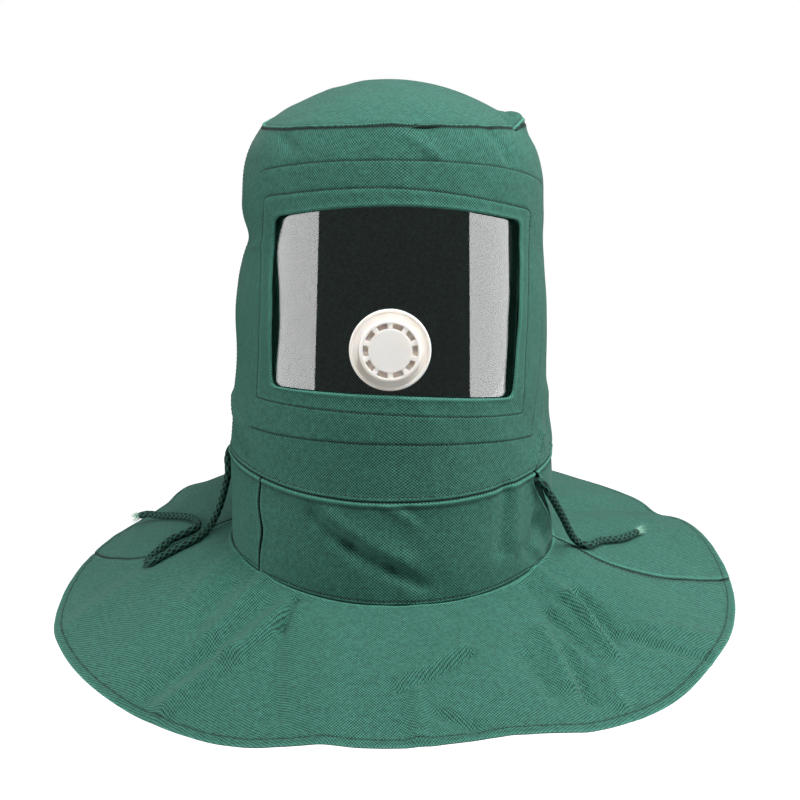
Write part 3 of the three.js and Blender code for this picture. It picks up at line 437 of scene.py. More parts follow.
def between(values, place, wraps=False):
    """A table's value between its rows, on a Catmull-Rom curve that runs straight on past the ends."""
    values = np.asarray(values, float)
    row = np.floor(place).astype(int)
    if wraps:
        a, b, c, d = (values[(row + step) % len(values)] for step in (-1, 0, 1, 2))
    else:
        row = np.clip(row, 0, len(values) - 2)
        ends = [2 * values[:1] - values[1:2], values, 2 * values[-1:] - values[-2:-1]]
        a, b, c, d = (np.concatenate(ends)[row + step] for step in range(4))
    return spline(a, b, c, d, place - row)


def drop_at(turn, rows, place):
    """How far down a section lies: the side's value, eased to the front's or the back's by cosine squared."""
    cosine = np.cos(np.radians(turn))
    side = between(rows["side"], place)
    end = np.where(cosine > 0, between(rows["front"], place), between(rows["back"], place))
    return side + (end - side) * cosine**2


def section_point(turn, rows, place, drop):
    """A point of a squared ellipse: each half axis times the sine or cosine to the power 2 / 2.2."""
    sine, cosine = np.sin(np.radians(turn)), np.cos(np.radians(turn))
    power = 2 / SECTION_POWER
    depth = np.where(cosine > 0, between(rows["fore"], place), between(rows["aft"], place)) * HOOD_DEPTH / 2
    x = between(rows["width"], place) * HOOD_WIDTH / 2 * np.sign(sine) * np.abs(sine) ** power
    y = -depth * np.sign(cosine) * np.abs(cosine) ** power
    return np.stack([x + between(rows["lean"], place) * HOOD_WIDTH, y, CLOTH - drop], axis=-1)


def tube_point(turn, place):
    return section_point(turn, TUBE, place, SEAT_TO_NECK * drop_at(turn, TUBE, place))


def band_point(turn, place):
    neck = SEAT_TO_NECK * drop_at(turn, TUBE, np.full_like(place, 8.0))
    return section_point(turn, BAND, place, neck + BAND_HEIGHT * drop_at(turn, BAND, place))


def crown_point(turn, share):
    """A dome: the tube's first section drawn in by the share, falling with the share's square."""
    edge = tube_point(turn, np.zeros_like(share))
    fall = (edge[..., 2] - CLOTH) * share**2
    return np.stack([edge[..., 0] * share, edge[..., 1] * share, CLOTH + fall], axis=-1)


def cape_point(turn, share):
    """A straight line from the cape seam to the hem, lifted in its middle by a parabola."""
    seam = band_point(turn, np.full_like(share, 2.0))
    place = (turn + 180) / 15
    reach = CAPE_REACH * between(HEM_REACH, place, wraps=True)
    fall = CAPE_FALL * between(HEM_FALL, place, wraps=True)
    angle = np.radians(turn)
    hem = np.stack([reach * np.sin(angle), -reach * np.cos(angle), seam[..., 2] - fall], axis=-1)
    point = seam + (hem - seam) * share[..., None]
    point[..., 2] += CAPE_RISE * 4 * share * (1 - share)
    return point


def plain_point(turn, station):
    """The outer face without its folds, from the formula of the stretch that the station lies in."""
    turn, station = (np.array(part) for part in np.broadcast_arrays(np.asarray(turn, float), station))
    point = crown_point(turn, np.clip(station, 0, 1))
    for seam, stretch, rows in ((1, tube_point, 8), (2, band_point, 2), (3, cape_point, 1)):
        below = stretch(turn, np.clip(station - seam, 0, 1) * rows)
        point = np.where((station > seam)[..., None], below, point)
    return point


def facing(turn, station):
    """The outward direction, from the steps down and round the surface, shared by both sides of a seam, and
    how much longer a mitre across that seam is."""
    station = np.maximum(station, 0.02)
    here = plain_point(turn, station)
    before = unit(here - plain_point(turn, station - 0.002))
    after = unit(plain_point(turn, np.minimum(station + 0.002, 4)) - here)
    after = np.where((np.asarray(station) > 3.998)[..., None], before, after)
    mitre = 1 / np.maximum(np.sqrt(np.maximum((1 + (before * after).sum(-1)) / 2, 0)), 0.7)
    round_it = unit(plain_point(np.add(turn, 0.2), station) - plain_point(np.add(turn, -0.2), station))
    return unit(np.cross(unit(before + after), round_it)), mitre


def fold_height(turn, station, folds):
    """The height of all folds: each is a bell curve of the distance to the line that it runs along, worked
    out only where the fold reaches."""
    here = plain_point(turn, station)
    height = np.zeros(here.shape[:-1])
    for start, top, end, bottom, width, rise in folds:
        middle = ((start + end) / 2, (top + bottom) / 2)
        beside = plain_point(middle[0] + 1, middle[1]) - plain_point(middle[0] - 1, middle[1])
        below = plain_point(middle[0], middle[1] + 0.02) - plain_point(middle[0], middle[1] - 0.02)
        per_turn, per_station = np.linalg.norm(beside) / 2, np.linalg.norm(below) / 0.04
        wide, high = (end - start) * per_turn, (bottom - top) * per_station
        reach = np.hypot(wide, high) / 2 + 3.2 * FOLD_WIDTH * width
        near = np.linalg.norm(here - plain_point(*middle), axis=-1) < reach
        away = (turn[near] - start + 540) % 360 - 180
        along = away * per_turn * wide + (station[near] - top) * per_station * high
        share = np.clip(along / (wide**2 + high**2), 0, 1)
        nearest = plain_point(start + (end - start) * share, top + (bottom - top) * share)
        distance = np.linalg.norm(here[near] - nearest, axis=-1) / (FOLD_WIDTH * width)
        height[near] += FOLD_DEPTH * rise * np.exp(-(distance**2))
    return height


def ripple(points, amount):
    """Shallow waves in the cloth: sums of slow sines along fixed directions, bent by one another."""
    x, y, z = np.moveaxis(points, -1, 0)
    bend = 0.9 * np.sin(0.031 * x + 0.043 * z + 1.3) + 0.8 * np.sin(0.037 * y - 0.029 * x + 0.4)
    wave = np.sin(0.115 * x + 0.06 * z + 2.1 * bend) + 0.8 * np.sin(0.098 * y - 0.085 * z + 1.7 * bend + 2.0)
    return amount * (wave + 0.5 * np.sin(0.21 * x + 0.17 * y + 0.19 * z + 2.4 * bend))


def hood_point(turn, station, depth=0.0, lift=0.0):
    """A point of the hood: the plain surface moved along its normal by folds, waves and a lift, less the
    depth under the outer face."""
    turn, station = np.broadcast_arrays(np.asarray(turn, float), np.asarray(station, float))
    normal, mitre = facing(turn, station)
    plain = plain_point(turn, station)
    height = fold_height(turn, station, FOLDS) + ripple(plain, 0.22) + lift - depth * mitre
    return plain + normal * height[..., None]


def rows_between(start, end, length, spacing):
    """Stations from one seam to the next, closer together near both seams."""
    close = np.array([0, 0.35, 0.75, 1.2, 1.75, 2.4, 3.1, 3.8, 4.6, 5.5, 6.5, 7.8, 9.5])
    middle = np.linspace(12, length - 12, int((length - 24) / spacing) + 1)
    run = np.concatenate([close, middle, length - close[::-1]])
    return start + (end - start) * run / length


def measured(points):
    """Millimetres down each column of a grid of points."""
    steps = np.linalg.norm(np.diff(points, axis=0), axis=-1)
    return np.concatenate([np.zeros((1, points.shape[1])), np.cumsum(steps, axis=0)])


def bell(distance, width):
    return np.exp(-((distance / width) ** 2))


WEAVE = 2 * np.pi / 0.0020


def cloth_material():
    """Green drill cloth: a fine lattice of raised dots on a ground darkened as painted shade, with slow
    changes of colour. One attribute paints highlights on welts and turned edges, and another paints shade
    into seams, stitched furrows and under welts."""
    material, shader, place, cut = new_material("green_drill")
    u = cut.node("ShaderNodeSeparateXYZ", {0: cut}, output=0)
    v = cut.node("ShaderNodeSeparateXYZ", {0: cut}, output=1)
    painted_highlight = cut.node("ShaderNodeAttribute", {}, output=2, attribute_name="painted_highlight")
    painted_shade = cut.node("ShaderNodeAttribute", {}, output=2, attribute_name="painted_shade")
    uneven = place.noise(420.0, 2.0)
    dots = (u * WEAVE).cosine() * (v * WEAVE).cosine() * 0.5 + 0.5
    # Painted highlight: an attribute lightens welts and turned edges by raising the share of the dots'
    # colour.
    share = dots * 0.95 + uneven * 0.6 - 0.38 + painted_highlight
    # Painted shade: the ground between the raised dots is a darkened copy of their green.
    ground = place.noise(7.0, 3.0).blend((0.002, 0.018, 0.012, 1), (0.004, 0.028, 0.020, 1))
    raised = place.noise(9.0, 2.0).blend((0.056, 0.240, 0.178, 1), (0.078, 0.290, 0.222, 1))
    # Painted shade: an attribute blends seams, furrows and the places under welts towards near black.
    colour = painted_shade.blend(share.blend(ground, raised), (0.001, 0.008, 0.005, 1))
    height = dots + uneven * 0.4
    bump = height.node("ShaderNodeBump", {"Strength": 0.5, "Distance": 0.0002, "Height": height})
    feed(shader, Base_Color=colour, Roughness=0.86, Normal=bump, Specular_IOR_Level=0.3, Sheen_Weight=0.05)
    return material


DRILL = cloth_material()


def cloth_wall(name, node, points, cut, flat, area, painted_highlight=0, painted_shade=0, thickness=CLOTH, **options):
    """A panel of cloth from a grid of its outer face: it gets its thickness inward, and turned edges stay
    crisp. flat and area, the size that it was cut to, are not used."""
    # Painted highlight and painted shade go on the panel as attributes that its colour reads.
    values = {"painted_highlight": painted_highlight + 0 * points[..., 0], "painted_shade": np.clip(painted_shade, 0, 1) + 0 * points[..., 0]}
    piece = skin(name, points, DRILL, cut=cut, values=values, **options)
    wall = piece.modifiers.new("wall", "SOLIDIFY")
    wall.thickness = thickness * 0.001
    wall.offset = -1
    solid = settle(piece)
    solid.name = name
    solid.set_sharp_from_angle(angle=np.radians(SHARP_FROM))
    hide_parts(node)
    return piece


def lay_flat(points, around=False):
    """Where each point falls on the uncut cloth when the panel is laid down flat."""
    flat = points[..., :2]
    return np.concatenate([flat, flat[:, :1]], axis=1) if around else flat


def lay_round(turn, points):
    """Where each point falls on the uncut cloth when the panel is unrolled from round the head."""
    return np.stack([np.radians(turn) * HOOD_WIDTH / 2 + 0 * points[..., 2], -points[..., 2]], axis=-1)


crown_stations = np.concatenate([np.linspace(0, 0.86, 34), rows_between(0.88, 1, 26, 3)])[:, None]
crown_turns = np.linspace(-180, 180, 241)[None, :-1]
to_edge = (1 - crown_stations) * CROWN_RADIUS
crown_lift = 0.9 * bell(to_edge - 1.4, 0.8) - 0.35 * bell(to_edge, 0.5) - 0.3 * bell(to_edge - 3.6, 0.9)
crown_points = hood_point(crown_turns, crown_stations, lift=crown_lift)
# The crown's welt gets a painted highlight, and its seam and the furrow above it get painted shade.
cloth_wall(
    "crown_cloth", "crown", crown_points, lay_flat(crown_points, around=True), (0.19, 0.20), 0.029,
    painted_highlight=0.9 * bell(to_edge - 1.9, 0.7), painted_shade=bell(to_edge, 0.9) + 0.4 * bell(to_edge - 3.4, 0.6),
    around=True,
)

# Front of the head tube: the window is cut out of it, its edge is turned in, and the lens pocket is sewn on
# behind it with one row of stitches round the window and one further out that is open at one side.
WINDOW_HALF, WINDOW_TOP, WINDOW_HEIGHT = 80.0, 84.0, 111.0
CORNER_TRIM, OPEN_SIDE_TURN = 5.0, -62


def station_at(turn, z):
    """The station on the head tube at a height, by halving."""
    low, high = np.ones_like(z), np.full_like(z, 2.0)
    for _ in range(24):
        middle = (low + high) / 2
        above = plain_point(turn, middle)[..., 2] > z
        low, high = np.where(above, middle, low), np.where(above, high, middle)
    return low


def on_tube(x, z):
    """Turn and station of the places on the head tube's front that lie at x and z as seen from the front."""
    turn = x / HOOD_WIDTH * 2 * 60
    for _ in range(8):
        station = station_at(turn, z)
        place = (station - 1) * 8
        reach = x - between(TUBE["lean"], place) * HOOD_WIDTH
        reach /= between(TUBE["width"], place) * HOOD_WIDTH / 2
        turn = np.degrees(np.arcsin(np.clip(np.sign(reach) * np.abs(reach) ** (SECTION_POWER / 2), -1, 1)))
    return np.stack([turn, station_at(turn, z)], axis=-1)


def outline(corners, bows, trim, sharp=False, along=72, corner_steps=9):
    """A closed line round four corners: each side is a parabola bowed outward by its bow, and each corner is
    a quadratic curve, or the corner itself where it is sharp."""
    corners = np.array(corners, float)
    line = []
    for side in range(4):
        here, there, beyond = (corners[(side + step) % 4] for step in range(3))
        span, next_span = there - here, beyond - there
        share = np.linspace(trim[side][0], 1 - trim[side][1], along)[:, None]
        outward = np.array(bows[side])
        line.append(here + span * share + outward * 4 * share * (1 - share))
        start, share = line[-1][-1], trim[(side + 1) % 4][0]
        end = there + next_span * share + np.array(bows[(side + 1) % 4]) * 4 * share * (1 - share)
        turn = np.linspace(0, 1, corner_steps + 2)[1:-1, None]
        if sharp:
            first, second = start + (there - start) * 2 * turn, there + (end - there) * (2 * turn - 1)
            line.append(np.where(turn < 0.5, first, second))
        else:
            line.append(start * (1 - turn) ** 2 + there * 2 * turn * (1 - turn) + end * turn**2)
    return np.concatenate(line)


def window_outline(margin):
    """The window's edge on the tube, moved out by a margin."""
    high, wide = WINDOW_HEIGHT, 2 * WINDOW_HALF
    corners = [
        (-WINDOW_HALF - margin, CLOTH - WINDOW_TOP + margin),
        (WINDOW_HALF + margin, CLOTH - WINDOW_TOP - 0.036 * WINDOW_HEIGHT + margin),
        (0.925 * WINDOW_HALF + margin, CLOTH - WINDOW_TOP - 1.072 * WINDOW_HEIGHT - margin),
        (-1.05 * WINDOW_HALF - margin, CLOTH - WINDOW_TOP - WINDOW_HEIGHT - margin),
    ]
    bows = [(0, 0.104 * high), (0.02 * high, 0), (0, 0.032 * high), (-0.014 * high, 0)]
    sides = np.array([wide, 1.036 * high, 0.9875 * wide, high])
    trim = (CORNER_TRIM + margin / 2) / np.stack([sides, sides], axis=-1)
    return on_tube(*outline(corners, bows, trim).T)


frame_corners = [(-87, -70.5), (88, -80.5), (82, -214), (-94, -203.5)]
frame_bows = [(0, 14), (0.5, 0), (0, 2.5), (0, 0)]
frame_trim = [(0.025, 0.025), (0.03, 0.012), (0.01, 0.01), (0.012, 0.03)]
frame_line = on_tube(*outline(frame_corners, frame_bows, frame_trim).T)
outer_corners = [(-63, -55.5), (76, -67.5), (56, -232), (-64, -225)]
outer_bows = [(0, 17), (1, 0), (0, 3), (0, 0)]
outer_trim = [(0.03, 0.03), (0.03, 0.012), (0.012, 0.012), (0.012, 0.03)]
outer_line = outline(outer_corners, outer_bows, outer_trim)
outer_line = np.stack([outer_line[:, 0], station_at(outer_line[:, 0], outer_line[:, 1])], axis=-1)
edge_trim = [(0.08, 0.08), (0.08, 0.08), (0.08, 0.08), (0.08, 0.08)]
edge_line = outline([(-90, 1), (90, 1), (90, 2), (-90, 2)], [(0, 0)] * 4, edge_trim, sharp=True)


def ring_between(lines, shares):
    """A grid of turns and stations between nested closed lines; share 0 is the first line, 1 the second."""
    stack = np.stack(lines)
    shares = np.asarray(shares)
    row = np.minimum(shares.astype(int), len(lines) - 2)
    part = (shares - row)[:, None, None]
    grid = stack[row] * (1 - part) + stack[row + 1] * part
    return grid[..., 0], grid[..., 1]


def neck_turn_in(to_neck):
    """Height across the tube's foot: a groove at the seam, a low roll and a stitched furrow."""
    return -0.9 * bell(to_neck, 0.5) + 0.4 * bell(to_neck - 1.6, 1.2) - 0.4 * bell(to_neck - 2.6, 0.5)


front_shares = np.concatenate([
    [0, 0.03, 0.07, 0.12, 0.18, 0.26, 0.36, 0.5, 0.64, 0.76, 0.86, 0.93, 0.97],
    1 + np.array([0, 0.02, 0.05, 0.09, 0.15, 0.24, 0.35, 0.47, 0.6, 0.72, 0.82, 0.89, 0.94, 0.97, 0.985]),
    2 + np.array([0, 0.015, 0.035, 0.06, 0.1, 0.16, 0.24, 0.33, 0.43, 0.53, 0.63, 0.72, 0.8, 0.86, 0.905]),
    2 + np.array([0.94, 0.96, 0.972, 0.982, 0.99, 0.996, 1.0]),
])
front_turn, front_station = ring_between([window_outline(0), frame_line, outer_line, edge_line], front_shares)
front_flat = plain_point(front_turn, front_station)
front_run = measured(front_flat)
at_frame = front_run - front_run[list(front_shares).index(1)]
at_outer = front_run - front_run[list(front_shares).index(2)]
to_crown, to_neck = (front_station - 1) * FRONT_LENGTH, (2 - front_station) * FRONT_LENGTH
stitched = front_turn > OPEN_SIDE_TURN
front_lift = (
    0.5 * bell(front_run - 1.6, 1.6) - 0.9 * bell(front_run, 0.7)
    - 0.45 * bell(at_frame, 0.9) - 0.45 * bell(at_outer, 0.9) * stitched
    + 0.35 * (at_outer < 0) * bell(np.minimum(at_outer, 0), 30)
    - 0.35 * bell(to_crown, 0.8) + neck_turn_in(to_neck)
)
# Painted highlights on the window's turned edge, on the welt above the neck seam and beside the frame
# stitches.
front_highlight = 0.25 * bell(front_run - 1.0, 1.2) + 0.15 * bell(to_neck - 1.4, 0.6)
front_highlight = front_highlight + 0.12 * bell(at_frame + 2, 1.2)
# Painted shade under the crown's welt, in the neck seam and in the stitched furrows.
front_painted_shade = bell(to_crown - 0.8, 1.4) + bell(to_neck, 0.5) + 0.5 * bell(at_frame, 0.5)
front_painted_shade = front_painted_shade + 0.5 * bell(at_outer, 0.5) * stitched
front_points = hood_point(front_turn, front_station, lift=front_lift)
front_cut = lay_round(front_turn, front_points)
front_cut = np.concatenate([front_cut, front_cut[:, :1]], axis=1)
cloth_wall(
    "front_cloth", "front_panel", front_points, front_cut, (0.36, 0.25), 0.057, painted_highlight=front_highlight,
    painted_shade=front_painted_shade, around=True, outward=False,
)

# Back of the head tube: one panel from side seam to side seam, smooth over the back of the head and drawn
# into upright folds above the neck.
BACK_STEP = 1.95
back_stations = rows_between(1, 2, BACK_LENGTH, 3)[:, None]
back_turns = np.linspace(90, 270, 150)[None]
back_run = (back_stations - 1) * BACK_LENGTH
to_neck = BACK_LENGTH - back_run
from_side, to_side = (back_turns - 90) * BACK_STEP, (270 - back_turns) * BACK_STEP
back_lift = -0.35 * bell(back_run, 0.8) + neck_turn_in(to_neck)
back_lift = back_lift - 0.9 * bell(from_side, 0.8) - 0.9 * bell(to_side, 0.8)
# Painted shade under the crown seam, in the neck seam and in both side seams.
back_painted_shade = bell(back_run - 0.8, 1.4) + bell(to_neck, 0.5) + bell(from_side, 0.5) + bell(to_side, 0.5)
back_points = hood_point(back_turns, back_stations, lift=back_lift)
cloth_wall(
    "back_cloth", "back_panel", back_points, lay_round(back_turns, back_points), (0.38, 0.24), 0.075,
    painted_shade=back_painted_shade,
)

# Neck band: a front yoke and a longer back, sewn to the tube above and to the cape below. They lie edge to
# edge at two slits, one nearly closed and one that gapes where the cord comes out.
SLIT_LEFT, SLIT_RIGHT = [-52.5, -54.5, -52.5, -54.0, -55.0], [54.0, 58.5, 66.0, 74.0, 80.0]
GAPE_LEFT, GAPE_RIGHT = [0.72, 1.44, 1.68, 1.2, 0.6], [12.0, 7.2, 3.6, 0.96, 0.6]


def slit_edge(station, middle, gape, side):
    """The turn of a slit's edge: its middle, moved to one side by half the gape, which closes at the top."""
    place = (station - 2) * 4
    open_share = 1 - 0.8 * bell((station - 2) * BAND_HEIGHT, 4.0)
    return between(middle, place) + side * np.degrees(between(gape, place) * open_share / HOOD_WIDTH)


def welts(run, length):
    """Height, painted highlight and painted shade across the band: a rolled welt at its top seam, stitches
    above its lower one.
    """
    foot = length - run
    height = 1.1 * bell(run - 1.6, 1.1) - 0.9 * bell(run, 0.5)
    height = height - 0.6 * bell(foot, 0.5) - 0.4 * bell(foot - 2.4, 0.5)
    # Painted highlights on the welt and above the lower seam; painted shade in both seams and under the welt.
    painted_highlight = 0.55 * bell(run - 1.8, 0.9) + 0.25 * bell(foot - 1.2, 0.6)
    return height, painted_highlight, bell(run, 0.5) + 0.3 * bell(foot, 0.5) + 0.5 * bell(run - 4.2, 0.8)


neck_stations = rows_between(2, 3, BAND_LENGTH, 2.5)[:, None]
welt_lift, welt_highlight, welt_painted_shade = welts((neck_stations - 2) * BAND_LENGTH, BAND_LENGTH)


def neck_part(name, node, edges, close, columns, groove, open_highlight, flat, area):
    """A part of the band from one slit's edge to the other's, with columns close together near both. groove
    is how deep its hem sinks in at the closed slit, and the next argument how much painted highlight its hem
    gets at the open one."""
    start, end = edges
    sweep = np.concatenate([close[:-1], np.linspace(close[-1], 1 - close[-1], columns), 1 - close[-2::-1]])
    turns = start + (end - start) * sweep
    ends = (turns - start) * SIDE_STEP, (end - turns) * SIDE_STEP
    closed_hem, open_hem = ends if node == "neck_front" else ends[::-1]
    lift = welt_lift + 0.6 * bell(closed_hem - 1.5, 1.5) - groove * bell(closed_hem, 0.6)
    points = hood_point(turns, neck_stations, lift=lift + 0.6 * bell(open_hem - 1.5, 1.5))
    # Painted highlights on the turned hems at both slits; painted shade in the closed slit.
    painted_highlight = welt_highlight + 0.3 * bell(closed_hem - 1, 1) + open_highlight * bell(open_hem - 1, 0.8)
    painted_shade = welt_painted_shade + bell(closed_hem, 0.8)
    return cloth_wall(name, node, points, lay_round(turns, points), flat, area, painted_highlight=painted_highlight, painted_shade=painted_shade)


left_slit, right_slit = (SLIT_LEFT, GAPE_LEFT), (SLIT_RIGHT, GAPE_RIGHT)
front_edges = slit_edge(neck_stations, *left_slit, 1), slit_edge(neck_stations, *right_slit, -1)
back_edges = slit_edge(neck_stations, *right_slit, 1), 360 + slit_edge(neck_stations, *left_slit, -1)
front_close = np.array([0, 0.002, 0.005, 0.01, 0.016, 0.024])
back_close = np.array([0, 0.001, 0.003, 0.006, 0.01, 0.016])
neck_part(
    "neck_front_cloth", "neck_front", front_edges, front_close, 78, 0.9, 0.5, (0.235, 0.08), 0.0158,
)
neck_back = neck_part(
    "neck_back_cloth", "neck_back", back_edges, back_close, 170, 0.6, 0.4, (0.49, 0.08), 0.0295,
)

# Buttonhole in the neck's back where the cord's longer end comes out, a slot bound with thread.
CASING_DROP = 10
BUTTONHOLE = (-112.2, 2 + CASING_DROP / BAND_HEIGHT)
SLOT_LENGTH, SLOT_HEIGHT = 16.0, 7.4
slot_normal = facing(*(np.array(part) for part in BUTTONHOLE))[0]
slot_centre = hood_point(*BUTTONHOLE)
slot_level = unit(np.cross((0, 0, 1.0), slot_normal))
slot_up = np.cross(slot_normal, slot_level)


def slot_line(grow):
    """A closed line round the slot: two half circles joined by straight sides, moved out by a margin."""
    angle = np.linspace(0, 2 * np.pi, 48, endpoint=False)
    half = (SLOT_LENGTH - SLOT_HEIGHT) / 2
    x = np.sign(np.cos(angle)) * half + (SLOT_HEIGHT / 2 + grow) * np.cos(angle)
    y = (SLOT_HEIGHT / 2 + grow) * np.sin(angle)
    return slot_centre + x[:, None] * slot_level + y[:, None] * slot_up


slot_reach = np.array([-8.0, 8.0])[:, None, None] * slot_normal
slot_mesh = bpy.data.meshes.new("slot")
slot_ring = (slot_line(0) + slot_reach).reshape(-1, 3) * 0.001
slot_sides = [(i, (i + 1) % 48, 48 + (i + 1) % 48, 48 + i) for i in range(48)]
slot_mesh.from_pydata(slot_ring.tolist(), [], slot_sides + [tuple(range(47, -1, -1)), tuple(range(48, 96))])
slot_cutter = bpy.data.objects.new("slot", slot_mesh)
scene.collection.objects.link(slot_cutter)
slot_cut = neck_back.modifiers.new("slot", "BOOLEAN")
slot_cut.object, slot_cut.operation, slot_cut.solver = slot_cutter, "DIFFERENCE", "EXACT"
settle(neck_back)
bpy.data.objects.remove(slot_cutter)

# Casing: a strip sewn inside the neck's back that bulges over the cord, and the cord in it.
CASING_TURNS, CASING_SLIP, CASING_CLOTH, CORD_PLAY = (90, 232.5), 0.6, 1.2, 0.55
sewn_edge = np.linspace(5.4, 9.2, 5)
casing_run = np.concatenate([-sewn_edge[::-1], np.linspace(-4.8, 4.8, 15), sewn_edge])[:, None]
casing_turns = np.linspace(*CASING_TURNS, 120)[None]
casing_stations = 2 + (CASING_DROP + casing_run) / BAND_HEIGHT
bulge = 6.1 * np.clip(1.35 - 0.35 * np.abs(casing_run) ** 2 / 9.3, 0, 1) * (np.abs(casing_run) < 5.3)
casing_points = hood_point(casing_turns, casing_stations)
normal, mitre = facing(casing_turns, casing_stations)
casing_points = casing_points - normal * (CLOTH + CASING_SLIP + bulge)[..., None]
cloth_wall(
    "casing_cloth", "neck_casing", casing_points, lay_round(casing_turns, casing_points), (0.30, 0.024),
    0.0062, thickness=CASING_CLOTH,
)
hidden_turns = np.linspace(62.7, 239.6, 120)
hidden = hood_point(hidden_turns, BUTTONHOLE[1], depth=CLOTH + CASING_SLIP + CORD_PLAY + CORD_RADIUS)
hidden_cord = braided("drawcord_back_braid", evenly(hidden, 0.6))
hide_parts("drawcord_back")

# Cape: a front and a back cut wide, so that they spread over the shoulders in soft folds. The hem is turned
# under and stitched, and the two shoulder seams curve from the neck to the hem.
SHOULDER_LEFT, SHOULDER_RIGHT = [-112, -100, -97, -104, -113], [83, 75, 76.5, 82.5, 90]
CAPE_LENGTH, HEM = 130.0, 5.5
cape_stations = rows_between(3, 4, CAPE_LENGTH, 2.6)[:, None]
cape_run = (cape_stations - 3) * CAPE_LENGTH
left_seam = between(SHOULDER_LEFT, (cape_stations - 3) * 4)
right_seam = between(SHOULDER_RIGHT, (cape_stations - 3) * 4)


def cape_part(name, node, start, end, columns, flat, area):
    """A part of the cape between two seams, tucked under at the neck and doubled by its hem."""
    edge = np.array([0, 0.0015, 0.0035, 0.006, 0.009, 0.013])
    sweep = np.concatenate([edge, np.linspace(0.018, 0.982, columns), 1 - edge[::-1]])
    turns = start + (end - start) * sweep
    width = np.linalg.norm(np.diff(plain_point(turns, cape_stations), axis=1), axis=-1)
    from_start = np.concatenate([np.zeros((len(turns), 1)), np.cumsum(width, axis=1)], axis=1)
    to_end = from_start[:, -1:] - from_start
    to_hem = CAPE_LENGTH - cape_run
    hem = 0.5 / (1 + np.exp((to_hem - 6.6) * 2.5)) - 0.3 * bell(to_hem - HEM, 0.9) - 0.35 * bell(to_hem, 0.5)
    seams = -1.2 * bell(from_start, 0.9) - 1.2 * bell(to_end, 0.9)
    stitched = -0.3 * bell(from_start - 3.0, 0.8) - 0.3 * bell(to_end - 3.0, 0.8)
    pucker = 0.22 * np.sin(from_start * 0.42) * bell(to_hem - 9, 6)
    lift = -0.6 * bell(cape_run, 0.5) + 0.6 * bell(cape_run - 1.8, 1.2) + hem + seams + stitched + pucker
    points = hood_point(turns, cape_stations, lift=lift)
    # Painted highlights on the welt below the cape seam, the hem's edge and beside a shoulder seam; painted
    # shade in the seams and the hem's stitched furrow.
    painted_highlight = 0.4 * bell(cape_run - 1.6, 0.8) + 0.3 * bell(to_hem, 1.2) + 0.5 * bell(from_start - 3.2, 0.9)
    painted_shade = 0.8 * bell(cape_run, 0.4) + 0.5 * bell(to_hem - HEM, 0.6)
    painted_shade = painted_shade + bell(from_start, 1.8) + bell(to_end, 1.6)
    return cloth_wall(name, node, points, lay_flat(points), flat, area, painted_highlight=painted_highlight, painted_shade=painted_shade)


cape_part("cape_front_cloth", "cape_front", left_seam, right_seam, 210, (0.49, 0.34), 0.077)
cape_part("cape_back_cloth", "cape_back", right_seam, 360 + left_seam, 180, (0.47, 0.30), 0.0716)

# Seam allowances: at each seam the edges of both panels are turned inside and pressed flat over it, and a
# narrow strip backs the left slit.
ALLOWANCE = 5.0


def allowance(name, turns, stations):
    """A thin strip just inside the cloth, along a seam."""
    points = hood_point(turns, stations, depth=CLOTH + 0.25)
    strip = skin(name, points, DRILL, cut=lay_round(turns + 0 * points[..., 0], points))
    wall = strip.modifiers.new("wall", "SOLIDIFY")
    wall.thickness, wall.offset = 0.0007, -1
    settle(strip)


ring = np.linspace(-180, 180, 289)[None]
beside = np.array([-ALLOWANCE, -2.5, 0, 2.5, ALLOWANCE])[:, None]
allowance("crown_allowance", ring, 1 + beside / np.where(beside < 0, 97, 235))
allowance("neck_allowance", ring, 2 + beside / np.where(beside < 0, 228, 67))
allowance("cape_allowance", ring, 3 + beside / np.where(beside < 0, 67, 130))
slit_stations = np.linspace(2.1, 2.92, 24)[:, None]
slit_middle = slit_edge(slit_stations, SLIT_LEFT, GAPE_LEFT, 0)
allowance("slit_backing", slit_middle + np.array([[-4, -2, 0, 2, 4]]), slit_stations)

# Stitches: dark green thread in short lockstitches that sink a little into the cloth.
STITCH, STITCH_STEP = 2.35, 2.9


def thread_material():
    material, shader, place, cut = new_material("thread")
    colour = place.noise(1400.0).blend((0.003, 0.013, 0.009, 1), (0.009, 0.032, 0.023, 1))
    feed(shader, Base_Color=colour, Roughness=0.6)
    return material


THREAD = thread_material()


